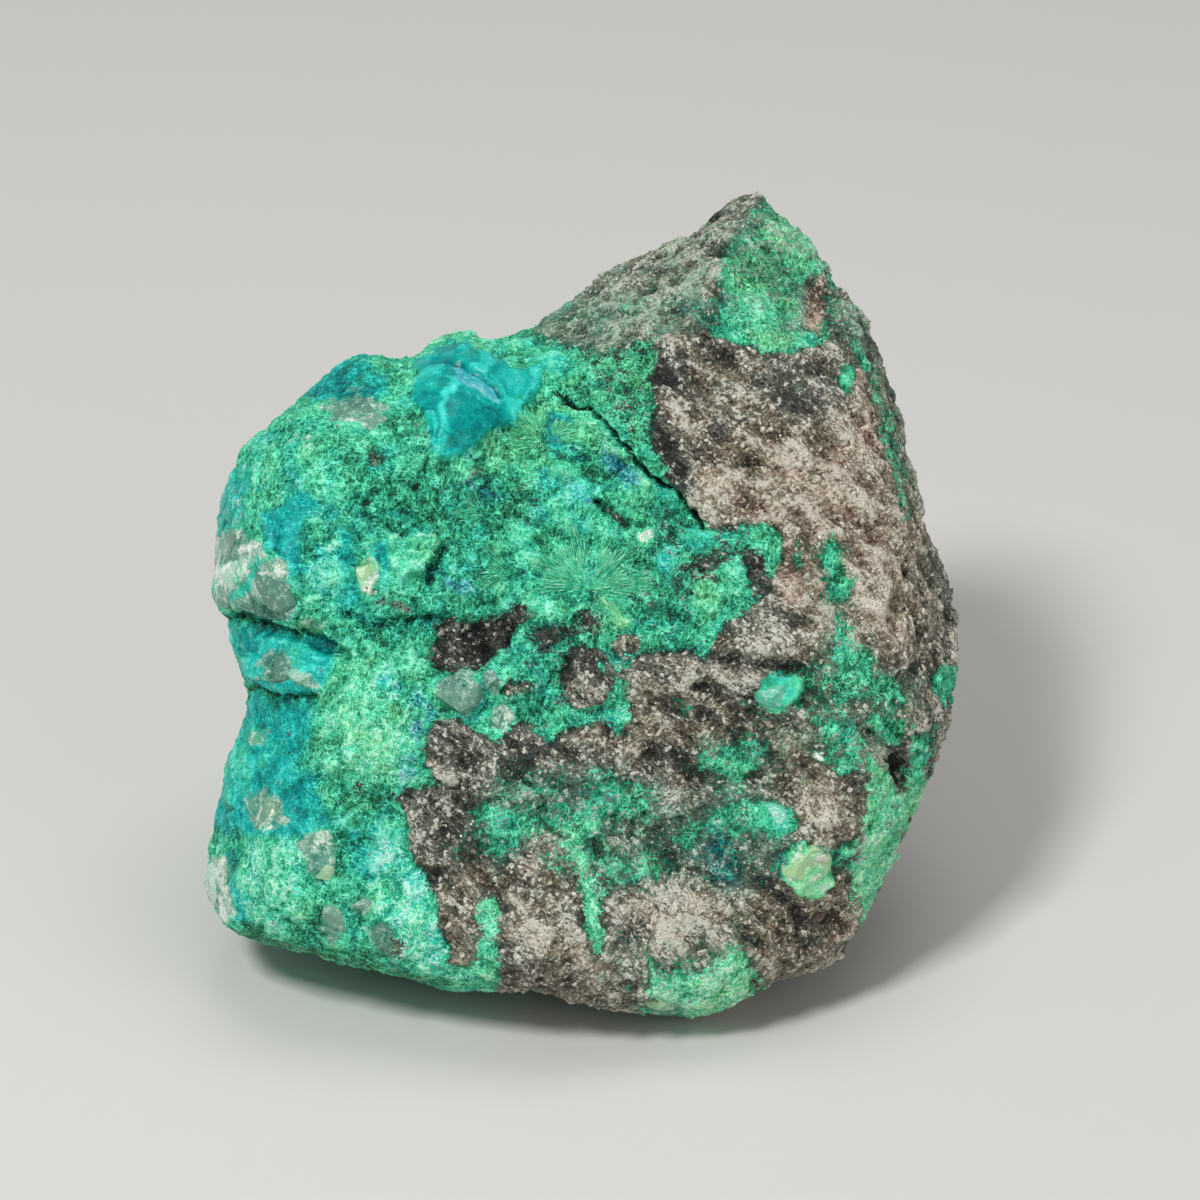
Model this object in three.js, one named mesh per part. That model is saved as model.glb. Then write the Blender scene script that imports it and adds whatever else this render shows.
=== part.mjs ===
// A chrysocolla specimen: one broken hand specimen of copper ore, as a single closed stone.
// Blue-green chrysocolla and malachite crust one half of it, and dark host rock makes up the rest.
//
// The stone is shaped in its display frame, where U points right and V up across the display
// face, W points out of that face, and the zero point is the middle of the face's outline.
// It is then leaned back onto its flat underside. Lengths are in millimetres, and +Z is up.
import * as THREE from "three";
import { ImprovedNoise } from "three/addons/math/ImprovedNoise.js";
import { mergeVertices } from "three/addons/utils/BufferGeometryUtils.js";

// ---- Driving dimensions ------------------------------------------------------------------

const LEAN_BACK_DEG = 28; // how far the display face leans back from upright
const FRONT_DEPTH = 18; // from the plane of the outline to the crown of the display face
const BACK_DEPTH = 25; // from the plane of the outline to the crown of the back
const UNDERSIDE_DROP = 28.8; // from the zero point straight down to the flat underside
const EDGE_SHARPNESS = 44; // how crisply two fracture faces meet
const SKIN_DETAIL = 18; // the stone's skin has 20 * (SKIN_DETAIL + 1)^2 triangles

const STONE_COLOUR = 0x2f8f76;
const STONE_ROUGHNESS = 0.7;

// ---- The outline of the display face, [u, v], anticlockwise from the right ----------------

const OUTLINE = [
  [33.9, -4.0], [33.4, 1.0], [32.4, 3.6], [30.8, 6.6], [30.0, 11.0], [28.6, 18.3],
  [26.3, 24.7], [23.6, 29.1], [21.1, 33.2], [18.7, 35.5], [17.7, 36.1], [17.0, 38.0],
  [15.4, 37.8], [13.3, 35.9], [10.9, 33.4], [7.0, 31.9], [2.6, 29.6], [-1.0, 26.7],
  [-4.9, 24.3], [-8.1, 23.4], [-11.1, 23.7], [-13.4, 22.4], [-16.2, 21.5], [-19.2, 22.2],
  [-22.6, 19.9], [-26.1, 16.8], [-29.7, 13.2], [-31.6, 9.6], [-32.1, 4.4], [-32.4, 0.4],
  [-31.0, -2.4], [-30.1, -4.9], [-28.8, -8.4], [-29.4, -11.4], [-30.9, -14.2], [-32.0, -19.5],
  [-31.8, -21.9], [-33.3, -24.3], [-33.7, -25.8], [-32.0, -28.3], [-29.2, -29.8],
  [-23.6, -31.2], [-16.7, -32.8], [-9.8, -34.3], [-2.5, -33.5], [1.6, -35.2], [6.9, -36.2],
  [11.4, -36.3], [15.1, -34.4], [18.6, -32.9], [23.2, -31.2], [25.6, -27.6], [28.1, -22.4],
  [29.6, -18.5], [31.5, -14.4], [33.4, -8.5],
];

// ---- The block ------------------------------------------------------------------------------

// The front shoulder and the rim at an angle in degrees round the outline: how square the
// shoulder is (1 is a straight slope, 2 an egg, 4 nearly a square corner), and how far forward
// the rim stands.
const RIM = [
  [0, 2.6, 2], [38, 1.75, -3], [62, 1.6, -8], [84, 1.6, -7], [108, 1.8, -4], [132, 2.2, 0],
  [160, 2.6, 2], [196, 2.6, 3], [222, 2.9, 5], [258, 3.2, 8], [292, 3.0, 7], [322, 2.9, 5],
];
const SHOULDER = 1; // the column of the shoulder's squareness
const FORWARD = 2; // the column of the rim's stand
const BACK_SHOULDER = 2.9;

// How the outline is read: points of the curve between two of its corners, and the angles over
// which its small bumps are averaged away from the rim.
const OUTLINE_STEPS = 12;
const OUTLINE_SMOOTHING_DEG = [-15, -10, -5, 0, 5, 10, 15];
const RIM_BAND = [0.06, 0.42]; // |W| of a direction between the crisp rim and the smoothed block

// Fracture faces, each [outward direction in U, V, W, how deep it bites into the block].
const FRACTURES = {
  lowerFront: [[0.08, -0.16, 0.98], 2.6],
  upperFront: [[0.24, 0.20, 0.95], 2.2],
  topSlope: [[-0.22, 0.74, 0.63], 2.6],
  rightSide: [[0.84, 0.12, 0.53], 1.8],
  lowerRight: [[0.52, -0.46, 0.72], 1.4],
  leftSide: [[-0.80, -0.04, 0.60], 2.2],
  backCrown: [[0.10, 0.22, -0.97], 5.0],
  backLeft: [[-0.66, 0.16, -0.73], 6.0],
  backRight: [[0.62, -0.10, -0.78], 5.6],
  backTop: [[0.04, 0.72, -0.69], 6.4],
};

// Small chips knocked off the back and sides, scattered evenly by the golden angle.
const CHIP_COUNT = 90;
const CHIP_FRONT_LIMIT = -0.3; // chips face further back than this W
const CHIP_BITE = 3.4; // the deepest chip
const CHIP_SPREAD = 0.45; // the share of the bite that changes from chip to chip
const CHIP_STEP = 7.3; // radians between one chip's bite and the next
const RIM_GUARD = 1.03; // a fracture face keeps this share outside the outline

// ---- Relief of the display face ------------------------------------------------------------

// Swellings and hollows: middle [u, v], half sizes [u, v], turn in degrees, height.
const SWELLINGS = {
  upperLeftDome: [[-22.0, 12.5], [10.0, 9.0], 25, 2.6],
  malachiteDish: [[-3.5, 7.0], [12.5, 8.0], -12, -2.4],
  chrysocollaBlock: [[-9.4, 18.2], [4.6, 5.0], -35, 2.2],
  blockNotch: [[-14.6, 18.0], [2.2, 3.6], 10, -1.6],
  leftKnob: [[-28.0, 1.6], [5.5, 4.2], 0, 1.9],
  lowerKnob: [[-26.2, -6.4], [4.6, 3.4], -12, 1.5],
  knobGap: [[-28.6, -9.8], [4.6, 1.8], -10, -0.8],
  malachitePillow: [[-18.6, -10.5], [5.6, 7.0], 12, 1.9],
  cornerPillow: [[-27.0, -24.6], [6.0, 5.0], 20, 2.2],
  cornerTooth: [[-33.0, -26.0], [1.8, 2.6], 25, 1.8],
  darkPit: [[-9.6, -3.6], [4.6, 2.6], 14, -1.6],
  ridgeUnderPit: [[-10.0, -7.8], [3.6, 2.0], 0, 0.9],
  centralRidge: [[11.0, -5.6], [10.0, 3.4], 16, 1.1],
  crustRim: [[-11.8, -13.6], [3.0, 2.2], 0, 1.1],
  lowerHollow: [[9.0, -22.0], [7.0, 3.4], -38, -1.3],
  rightGouge: [[28.4, -14.2], [1.5, 3.6], 26, -2.2],
  greenSpur: [[20.4, -20.6], [4.6, 2.4], -8, 1.3],
  rightShoulder: [[23.0, 4.6], [6.0, 11.0], 8, 1.2],
  summitPatch: [[17.0, 27.8], [4.6, 6.0], 0, 1.2],
  browShadow: [[9.4, 20.0], [5.6, 1.8], -18, -1.2],
};

const SWELLING_POWER = 1.5; // 1 is a bell, more is flatter on top with steeper sides
const RELIEF_BAND = [0.02, 0.3]; // W of a direction over which the face's relief comes in

// Creases: a broad groove along a path, with its half width and depth.
const CREASES = {
  underLeftKnob: [[[-31.2, -2.0], [-27.0, -3.6], [-22.8, -3.9], [-19.6, -5.6]], 1.6, 1.2],
  underLowerKnob: [[[-29.2, -8.8], [-25.6, -10.2], [-22.4, -9.2]], 1.6, 0.9],
  tealValley: [[[-22.2, -9.4], [-24.0, -15.0], [-21.6, -20.4], [-16.4, -25.0]], 2.6, 1.0],
};

// Ledges: everything left of the line, looking along it, sinks by the depth, which fades out
// over the reach.
const LEDGES = {
  slab: { from: [12.4, 6.6], to: [-2.8, 19.6], depth: 1.3, reach: 9 },
  crustTop: { from: [-13.4, -11.6], to: [0.6, -11.8], depth: 0.7, reach: 6 },
  crustLeft: { from: [-8.2, -31.0], to: [-15.2, -16.4], depth: 0.7, reach: 6 },
  browTop: { from: [7.2, 22.6], to: [23.2, 25.4], depth: 0.7, reach: 6 },
};
const LEDGE_SOFTNESS = 1.5; // half the width over which a ledge steps down
const LEDGE_FADE = [-0.15, 0.1]; // the share of a ledge's length over which each end fades

// Roughness of the skin: the size of the lumps and their height, coarse to fine.
const ROUGHNESS = [
  { size: 13, height: 0.85 },
  { size: 6.2, height: 0.55 },
  { size: 3.1, height: 0.34 },
  { size: 1.7, height: 0.16 },
];
const ROUGHNESS_SHIFT = 3.7; // moves each layer of lumps along from the one before
const RIM_ROUGHNESS = 0.35; // the share of the roughness that is left at the rim

// ---- Shape functions -----------------------------------------------------------------------

const noise = new ImprovedNoise();

/** A table of the outline's radius against the angle round the zero point. */
function outlineTable(points) {
  const curve = new THREE.CatmullRomCurve3(
    points.map(([u, v]) => new THREE.Vector3(u, v, 0)), true, "centripetal",
  );
  return curve
    .getPoints(points.length * OUTLINE_STEPS)
    .map((p) => ({ angle: Math.atan2(p.y, p.x), radius: Math.hypot(p.x, p.y) }))
    .sort((a, b) => a.angle - b.angle);
}

const OUTLINE_TABLE = outlineTable(OUTLINE);
const OUTLINE_SMOOTHING = OUTLINE_SMOOTHING_DEG.map(THREE.MathUtils.degToRad);

/** The outline's radius at an angle, by linear interpolation in the table. */
function outlineRadius(angle) {
  const last = OUTLINE_TABLE.length - 1;
  if (angle <= OUTLINE_TABLE[0].angle || angle >= OUTLINE_TABLE[last].angle) {
    return OUTLINE_TABLE[last].radius;
  }
  let low = 0;
  let high = last;
  while (high - low > 1) {
    const middle = (low + high) >> 1;
    if (OUTLINE_TABLE[middle].angle > angle) high = middle;
    else low = middle;
  }
  const a = OUTLINE_TABLE[low];
  const b = OUTLINE_TABLE[high];
  const span = Math.max(b.angle - a.angle, 1e-9);
  return THREE.MathUtils.lerp(a.radius, b.radius, (angle - a.angle) / span);
}

/** The outline's radius at an angle with its small bumps smoothed away. */
function smoothRadius(angle) {
  const radii = OUTLINE_SMOOTHING.map((turn) => {
    const turned = THREE.MathUtils.euclideanModulo(angle + turn + Math.PI, 2 * Math.PI);
    return outlineRadius(turned - Math.PI);
  });
  return radii.reduce((sum, radius) => sum + radius, 0) / radii.length;
}

/** A column of the rim's table at an angle, eased from one listed angle to the next. */
function rimValue(angle, column) {
  const degrees = THREE.MathUtils.euclideanModulo(THREE.MathUtils.radToDeg(angle), 360);
  const next = RIM.findIndex(([at]) => at > degrees);
  const after = RIM[next < 0 ? 0 : next];
  const before = RIM.at(next < 0 ? -1 : next - 1);
  const span = after[0] - before[0] + (next < 0 ? 360 : 0);
  const share = THREE.MathUtils.smoothstep((degrees - before[0]) / span, 0, 1);
  return THREE.MathUtils.lerp(before[column], after[column], share);
}

/** The distance from the zero point to the unbroken block, a rounded block on the outline. */
function blockRadius(direction) {
  const angle = Math.atan2(direction.y, direction.x);
  const front = direction.z > 0;
  const power = front ? rimValue(angle, SHOULDER) : BACK_SHOULDER;
  const offRim = THREE.MathUtils.smoothstep(Math.abs(direction.z), ...RIM_BAND);
  const radius = THREE.MathUtils.lerp(outlineRadius(angle), smoothRadius(angle), offRim);
  const across = Math.hypot(direction.x, direction.y) / radius;
  const through = Math.abs(direction.z) / (front ? FRONT_DEPTH : BACK_DEPTH);
  return (across ** power + through ** power) ** (-1 / power);
}

/** A fracture face that bites into a block, given by points on its skin, but spares its rim. */
function cutFace(normal, bite, block, rim) {
  const furthest = (points) => Math.max(...points.map((point) => normal.dot(point)));
  return { normal, distance: Math.max(furthest(block) - bite, furthest(rim) * RIM_GUARD) };
}

/** The fracture faces and the small chips of the back and sides. */
function makeCuts(directions) {
  const block = directions.map((d) => d.clone().multiplyScalar(blockRadius(d)));
  const rim = OUTLINE.map(([u, v]) => new THREE.Vector3(u, v, 0));
  const cuts = Object.values(FRACTURES).map(([direction, bite]) =>
    cutFace(new THREE.Vector3(...direction).normalize(), bite, block, rim),
  );
  const golden = Math.PI * (3 - Math.sqrt(5));
  for (let i = 0; i < CHIP_COUNT; i += 1) {
    const w = 1 - (2 * (i + 0.5)) / CHIP_COUNT;
    if (w > CHIP_FRONT_LIMIT) continue;
    const across = Math.sqrt(1 - w * w);
    const normal = new THREE.Vector3(across * Math.cos(i * golden), across * Math.sin(i * golden), w);
    const bite = CHIP_BITE * (1 - CHIP_SPREAD + CHIP_SPREAD * Math.sin(i * CHIP_STEP));
    cuts.push(cutFace(normal, bite, block, rim));
  }
  return cuts;
}

/** The distance from the zero point to the stone once the cuts have broken the block. */
function brokenRadius(direction, cuts) {
  let sum = blockRadius(direction) ** -EDGE_SHARPNESS;
  for (const { normal, distance } of cuts) {
    const facing = normal.dot(direction);
    if (facing > 0) sum += (facing / distance) ** EDGE_SHARPNESS;
  }
  return sum ** (-1 / EDGE_SHARPNESS);
}

/** A swelling's height at a point of the display face. */
function swellingHeight([middle, half, turnDeg, height], u, v) {
  const turn = THREE.MathUtils.degToRad(turnDeg);
  const du = u - middle[0];
  const dv = v - middle[1];
  const along = (du * Math.cos(turn) + dv * Math.sin(turn)) / half[0];
  const across = (dv * Math.cos(turn) - du * Math.sin(turn)) / half[1];
  return height * Math.exp(-((along * along + across * across) ** SWELLING_POWER));
}

/** The distance from a point to a segment, and where along it the nearest point lies, 0 to 1. */
function toSegment(from, to, u, v) {
  const su = to[0] - from[0];
  const sv = to[1] - from[1];
  const share = ((u - from[0]) * su + (v - from[1]) * sv) / (su * su + sv * sv);
  const along = THREE.MathUtils.clamp(share, 0, 1);
  return { distance: Math.hypot(u - from[0] - along * su, v - from[1] - along * sv), share };
}

/** A crease's depth at a point of the display face, as a negative height. */
function creaseHeight([path, halfWidth, depth], u, v) {
  let nearest = Infinity;
  for (let i = 1; i < path.length; i += 1) {
    nearest = Math.min(nearest, toSegment(path[i - 1], path[i], u, v).distance);
  }
  return -depth * Math.exp(-((nearest / halfWidth) ** 2));
}

/** A ledge's height at a point of the display face: a step down that fades out to the left. */
function ledgeHeight({ from, to, depth, reach }, u, v) {
  const length = Math.hypot(to[0] - from[0], to[1] - from[1]);
  const side = ((to[0] - from[0]) * (v - from[1]) - (to[1] - from[1]) * (u - from[0])) / length;
  const { share } = toSegment(from, to, u, v);
  const ends = THREE.MathUtils.smoothstep(share, ...LEDGE_FADE) *
    (1 - THREE.MathUtils.smoothstep(share, 1 - LEDGE_FADE[1], 1 - LEDGE_FADE[0]));
  const step = THREE.MathUtils.smoothstep(side, -LEDGE_SOFTNESS, LEDGE_SOFTNESS);
  return -depth * ends * step * Math.exp(-Math.max(side, 0) / reach);
}

/** The whole relief of the display face at a point. */
function faceRelief(u, v) {
  let height = 0;
  for (const swelling of Object.values(SWELLINGS)) height += swellingHeight(swelling, u, v);
  for (const crease of Object.values(CREASES)) height += creaseHeight(crease, u, v);
  for (const ledge of Object.values(LEDGES)) height += ledgeHeight(ledge, u, v);
  return height;
}

/** Noise from -1 to 1 with lumps of a given size, moved along so that no two layers match. */
function lumps(point, size, shift) {
  return noise.noise(point.x / size + shift, point.y / size - shift, point.z / size + 2 * shift);
}

/** One skin point of the stone, from the direction in which it lies. */
function skinPoint(direction, cuts, down) {
  const point = direction.clone().multiplyScalar(brokenRadius(direction, cuts));
  const rough = ROUGHNESS.reduce(
    (sum, { size, height }, i) => sum + height * lumps(point, size, ROUGHNESS_SHIFT * (i + 1)), 0,
  );
  const facing = THREE.MathUtils.smoothstep(direction.z, ...RELIEF_BAND);
  point.z += faceRelief(point.x, point.y) * facing;
  const share = RIM_ROUGHNESS + (1 - RIM_ROUGHNESS) * Math.abs(direction.z);
  point.addScaledVector(direction, rough * share);
  const angle = Math.atan2(point.y, point.x);
  const toRim = Math.min(Math.hypot(point.x, point.y) / outlineRadius(angle), 1);
  point.z += rimValue(angle, FORWARD) * toRim ** 2;
  const drop = point.dot(down);
  if (drop > UNDERSIDE_DROP) point.multiplyScalar(UNDERSIDE_DROP / drop);
  return point;
}

// ---- The stone -------------------------------------------------------------------------------

/** The directions from the zero point to the skin's points, with one on each outline corner. */
function skinDirections(ball) {
  const place = ball.getAttribute("position");
  const directions = Array.from({ length: place.count }, (_, i) =>
    new THREE.Vector3().fromBufferAttribute(place, i).normalize(),
  );
  const taken = new Set();
  for (const [u, v] of OUTLINE) {
    const corner = new THREE.Vector3(u, v, 0).normalize();
    let nearest = 0;
    directions.forEach((direction, i) => {
      if (!taken.has(i) && direction.dot(corner) > directions[nearest].dot(corner)) nearest = i;
    });
    taken.add(nearest);
    directions[nearest].copy(corner);
  }
  return directions;
}

/** The stone's closed skin, standing on its flat underside with the zero point on the floor. */
function makeStone() {
  const lean = THREE.MathUtils.degToRad(LEAN_BACK_DEG);
  const down = new THREE.Vector3(0, -Math.cos(lean), -Math.sin(lean));
  const ball = new THREE.IcosahedronGeometry(1, SKIN_DETAIL);
  ball.deleteAttribute("normal");
  ball.deleteAttribute("uv");
  const skin = mergeVertices(ball, 1e-5);
  const directions = skinDirections(skin);
  const cuts = makeCuts(directions);
  skin.setFromPoints(directions.map((direction) => skinPoint(direction, cuts, down)));
  skin.rotateX(Math.PI / 2 - lean);
  skin.computeBoundingBox();
  const { min, max } = skin.boundingBox;
  skin.translate(-(min.x + max.x) / 2, -(min.y + max.y) / 2, -min.z);
  skin.computeVertexNormals();
  return skin;
}

const material = new THREE.MeshStandardMaterial({
  color: STONE_COLOUR,
  roughness: STONE_ROUGHNESS,
  metalness: 0,
});
const stone = new THREE.Mesh(makeStone(), material);
stone.name = "chrysocolla_stone";

const specimen = new THREE.Group();
specimen.add(stone);

export default specimen;
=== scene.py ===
"""A chrysocolla hand specimen: blue-green chrysocolla and malachite crust on dark host rock.

The stone rests on its flat underside and its display face leans back. The script loads the
fixed solid, grows a fine skin on it, marks out the minerals of the display face, scatters the
needles, grains and crystals that stand proud of the skin, and lights it on a pale floor.
Lengths are in millimetres until they reach a mesh, which is in metres.
"""

import logging
import math
from dataclasses import dataclass, field, fields
from enum import Enum
from functools import partial
from typing import Callable, Iterable, Sequence

import bmesh
import bpy
import numpy as np
from mathutils import Matrix, Vector, noise
from mathutils.kdtree import KDTree


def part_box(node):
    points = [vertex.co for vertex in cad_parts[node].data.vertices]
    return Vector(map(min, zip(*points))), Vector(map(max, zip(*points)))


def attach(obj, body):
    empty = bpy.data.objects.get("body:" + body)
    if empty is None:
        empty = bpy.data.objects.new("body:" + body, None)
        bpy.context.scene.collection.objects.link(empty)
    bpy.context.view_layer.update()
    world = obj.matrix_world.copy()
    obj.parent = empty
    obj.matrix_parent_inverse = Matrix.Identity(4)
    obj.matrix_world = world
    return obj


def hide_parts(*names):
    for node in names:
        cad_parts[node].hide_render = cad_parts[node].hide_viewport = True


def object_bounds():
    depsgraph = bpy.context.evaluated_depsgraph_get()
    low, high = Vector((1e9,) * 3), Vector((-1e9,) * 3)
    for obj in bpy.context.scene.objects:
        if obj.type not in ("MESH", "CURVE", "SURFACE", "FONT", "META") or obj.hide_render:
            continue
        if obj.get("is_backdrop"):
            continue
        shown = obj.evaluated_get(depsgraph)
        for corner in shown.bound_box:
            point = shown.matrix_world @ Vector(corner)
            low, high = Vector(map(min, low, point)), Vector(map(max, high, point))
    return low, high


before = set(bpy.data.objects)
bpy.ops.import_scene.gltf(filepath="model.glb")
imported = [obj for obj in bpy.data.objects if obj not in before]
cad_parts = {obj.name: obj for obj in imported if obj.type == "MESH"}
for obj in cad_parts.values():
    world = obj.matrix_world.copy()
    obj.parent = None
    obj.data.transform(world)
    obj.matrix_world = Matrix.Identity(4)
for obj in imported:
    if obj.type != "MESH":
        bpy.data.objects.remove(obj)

LOG = logging.getLogger("specimen")
MM = 0.001
NODE = "chrysocolla_stone"
SEED = 41
HALF = Vector((0.5, 0.5, 0.5))
TINY = 1e-9  # Keeps a division away from nought.
NEVER = 1e-12  # So small a weight that nothing is sown there.
HIDDEN = 1e3  # Added to a distance where the skin faces away, so that it is never nearest.
FOOT_BAND = (0.8, 2.0)  # Where small crystals start, in millimetres above the underside.

Points = tuple[tuple[float, float], ...]


# ---- The display face's own frame -----------------------------------------------------------


@dataclass(frozen=True)
class FaceFrame:
    """Where the display face lies: U to its right, V up across it, W out of it.

    Attributes:
        lean_deg: How far the face leans back.
        middle: The middle of the face, as shares of the stone's box.
        viewing_mm: How far in front of that middle the eye is.
    """

    lean_deg: float = 28.0
    middle: tuple[float, float, float] = (0.4959, 0.5168, 0.4928)
    viewing_mm: float = 420.0

    def origin(self) -> Vector:
        """The middle of the face in metres."""
        low, high = (Vector(corner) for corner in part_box(NODE))
        return Vector(low[i] + self.middle[i] * (high[i] - low[i]) for i in range(3))

    def axes(self) -> Matrix:
        """The rotation that takes U, V and W to the part's axes.

        Returns:
            The rotation.
        """
        lean = math.radians(self.lean_deg)
        right = Vector((1.0, 0.0, 0.0))
        up = Vector((0.0, math.sin(lean), math.cos(lean)))
        return Matrix((right, up, right.cross(up))).transposed()

    def direction(self, turn_deg: float) -> Vector:
        """A direction that lies in the face, turned from its right towards its top."""
        turn = math.radians(turn_deg)
        return self.axes() @ Vector((math.cos(turn), math.sin(turn), 0.0))

    def to_face(self, points: np.ndarray) -> np.ndarray:
        """Turns points in metres into U, V and W in millimetres.

        Args:
            points: Places in the part's frame, one row each.

        Returns:
            The same places in the face's frame.
        """
        return (points - np.array(self.origin())) @ np.array(self.axes()) / MM

    def seen(self, face: np.ndarray) -> np.ndarray:
        """Where places in the face's frame appear to an eye in front of the face's middle."""
        return face[:, :2] * (self.viewing_mm / (self.viewing_mm - face[:, 2:]))


# ---- Number fields --------------------------------------------------------------------------


def ramp(value: np.ndarray, low: float, high: float) -> np.ndarray:
    """Eases a value from 0 at low to 1 at high."""
    share = np.clip((value - low) / (high - low), 0.0, 1.0)
    return share * share * (3.0 - 2.0 * share)


def lumps(points: np.ndarray, size: float, shift: float = 0.0) -> np.ndarray:
    """Smooth noise from about -1 to 1 with lumps of a given size.

    Args:
        points: Places in millimetres, one row each.
        size: The size of a lump in millimetres.
        shift: Moves the noise so that two layers differ.

    Returns:
        One number for each place.
    """
    places = np.zeros((len(points), 3))
    places[:, : points.shape[1]] = points / size
    places += shift
    return np.fromiter((noise.noise(place) for place in places), float, len(places))


def facets(points: np.ndarray, size: float) -> tuple[np.ndarray, np.ndarray]:
    """Broken facets of a given size.

    Args:
        points: Places in millimetres, one row each.
        size: The width of a facet in millimetres.

    Returns:
        The distance to the nearest facet edge as a share of the size, and the height of the
        facet's own tilted plane, from about -1 to 1.
    """
    gaps = np.empty(len(points))
    planes = np.empty(len(points))
    for i, place in enumerate(map(Vector, points / size)):
        distances, cells = noise.voronoi(place)
        middle = cells[0]
        gaps[i] = distances[1] - distances[0]
        tilt = noise.cell_vector(middle * 7.3)
        planes[i] = (place - middle).dot(tilt - HALF) * 2.0 + tilt.x - 0.5
    return gaps, planes


# ---- Shapes laid out on the display face ----------------------------------------------------


@dataclass(frozen=True)
class Blob:
    """An oval: its middle, half sizes and turn in degrees."""

    middle: tuple[float, float]
    half: tuple[float, float]
    turn: float = 0.0

    def inside(self, places: np.ndarray) -> np.ndarray:
        """How far inside the oval each place lies, in millimetres.

        Args:
            places: Places on the face, one row each.

        Returns:
            One distance for each place, negative outside.
        """
        turn = math.radians(self.turn)
        offset = places - np.array(self.middle)
        along = offset[:, 0] * math.cos(turn) + offset[:, 1] * math.sin(turn)
        across = offset[:, 1] * math.cos(turn) - offset[:, 0] * math.sin(turn)
        share = np.hypot(along / self.half[0], across / self.half[1])
        return (1.0 - share) * min(self.half)


@dataclass(frozen=True)
class Area:
    """A closed outline."""

    outline: Points

    def inside(self, places: np.ndarray) -> np.ndarray:
        """How far inside the outline each place lies, in millimetres.

        Args:
            places: Places on the face, one row each.

        Returns:
            One distance for each place, negative outside.
        """
        nearest = np.full(len(places), np.inf)
        within = np.zeros(len(places), bool)
        for start, end in zip(self.outline, self.outline[1:] + self.outline[:1]):
            nearest = np.minimum(nearest, segment_distance(places, start, end))
            spans = (start[1] > places[:, 1]) != (end[1] > places[:, 1])
            rise = end[1] - start[1] or TINY
            crossing = start[0] + (places[:, 1] - start[1]) * (end[0] - start[0]) / rise
            within ^= spans & (places[:, 0] < crossing)
        return np.where(within, nearest, -nearest)


@dataclass(frozen=True)
class Stroke:
    """A line of some half width along a path."""

    path: Points
    half_width: float

    def inside(self, places: np.ndarray) -> np.ndarray:
        """How far inside the line each place lies, in millimetres.

        Args:
            places: Places on the face, one row each.

        Returns:
            One distance for each place, negative outside.
        """
        pieces = zip(self.path, self.path[1:])
        distances = [segment_distance(places, start, end) for start, end in pieces]
        return self.half_width - np.min(distances, axis=0)


def segment_distance(
    places: np.ndarray, start: tuple[float, float], end: tuple[float, float]
) -> np.ndarray:
    """The distance from each place to a straight segment, in millimetres.

    Args:
        places: Places on the face, one row each.
        start: One end.
        end: The other end.

    Returns:
        One distance for each place.
    """
    run = np.array(end) - np.array(start)
    offset = places - np.array(start)
    share = np.clip(offset @ run / max(run @ run, TINY), 0.0, 1.0)
    return np.linalg.norm(offset - share[:, None] * run, axis=1)


@dataclass(frozen=True)
class Tone:
    """What a place is made of. A patch leaves alone what it doesn't state.

    Attributes:
        rock: -1 is crust, 1 is host rock, and between them the two are mingled.
        warm: The rock's shade, from black at -1 to tan at 0.5 and reddish at 1.
        light: The rock's lightness, from -1 to 1: its own, and painted shade in cracks and
            shadows.
        teal: The crust's hue, from yellow-green at -1 to deep blue-green at 1.
        pale: The crust's lightness, from -1 to 1: its own, and painted shade in cracks, crevices
            and shadows.
        blue: How much azurite blue there is.
        quartz: How much clear grey quartz there is.
        glass: How smooth and glassy the crust is.
        film: How much thin green film lies on the rock.
        proud: How far the place stands out of the skin, in millimetres.
    """

    rock: float | None = None
    warm: float | None = None
    light: float | None = None
    teal: float | None = None
    pale: float | None = None
    blue: float | None = None
    quartz: float | None = None
    glass: float | None = None
    film: float | None = None
    proud: float | None = None


CHANNELS = tuple(entry.name for entry in fields(Tone))


@dataclass(frozen=True)
class Patch:
    """One named place of the display face: its shape, its tone and how soft its edge is."""

    name: str
    shape: Blob | Area | Stroke
    tone: Tone
    edge: float = 0.35


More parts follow.
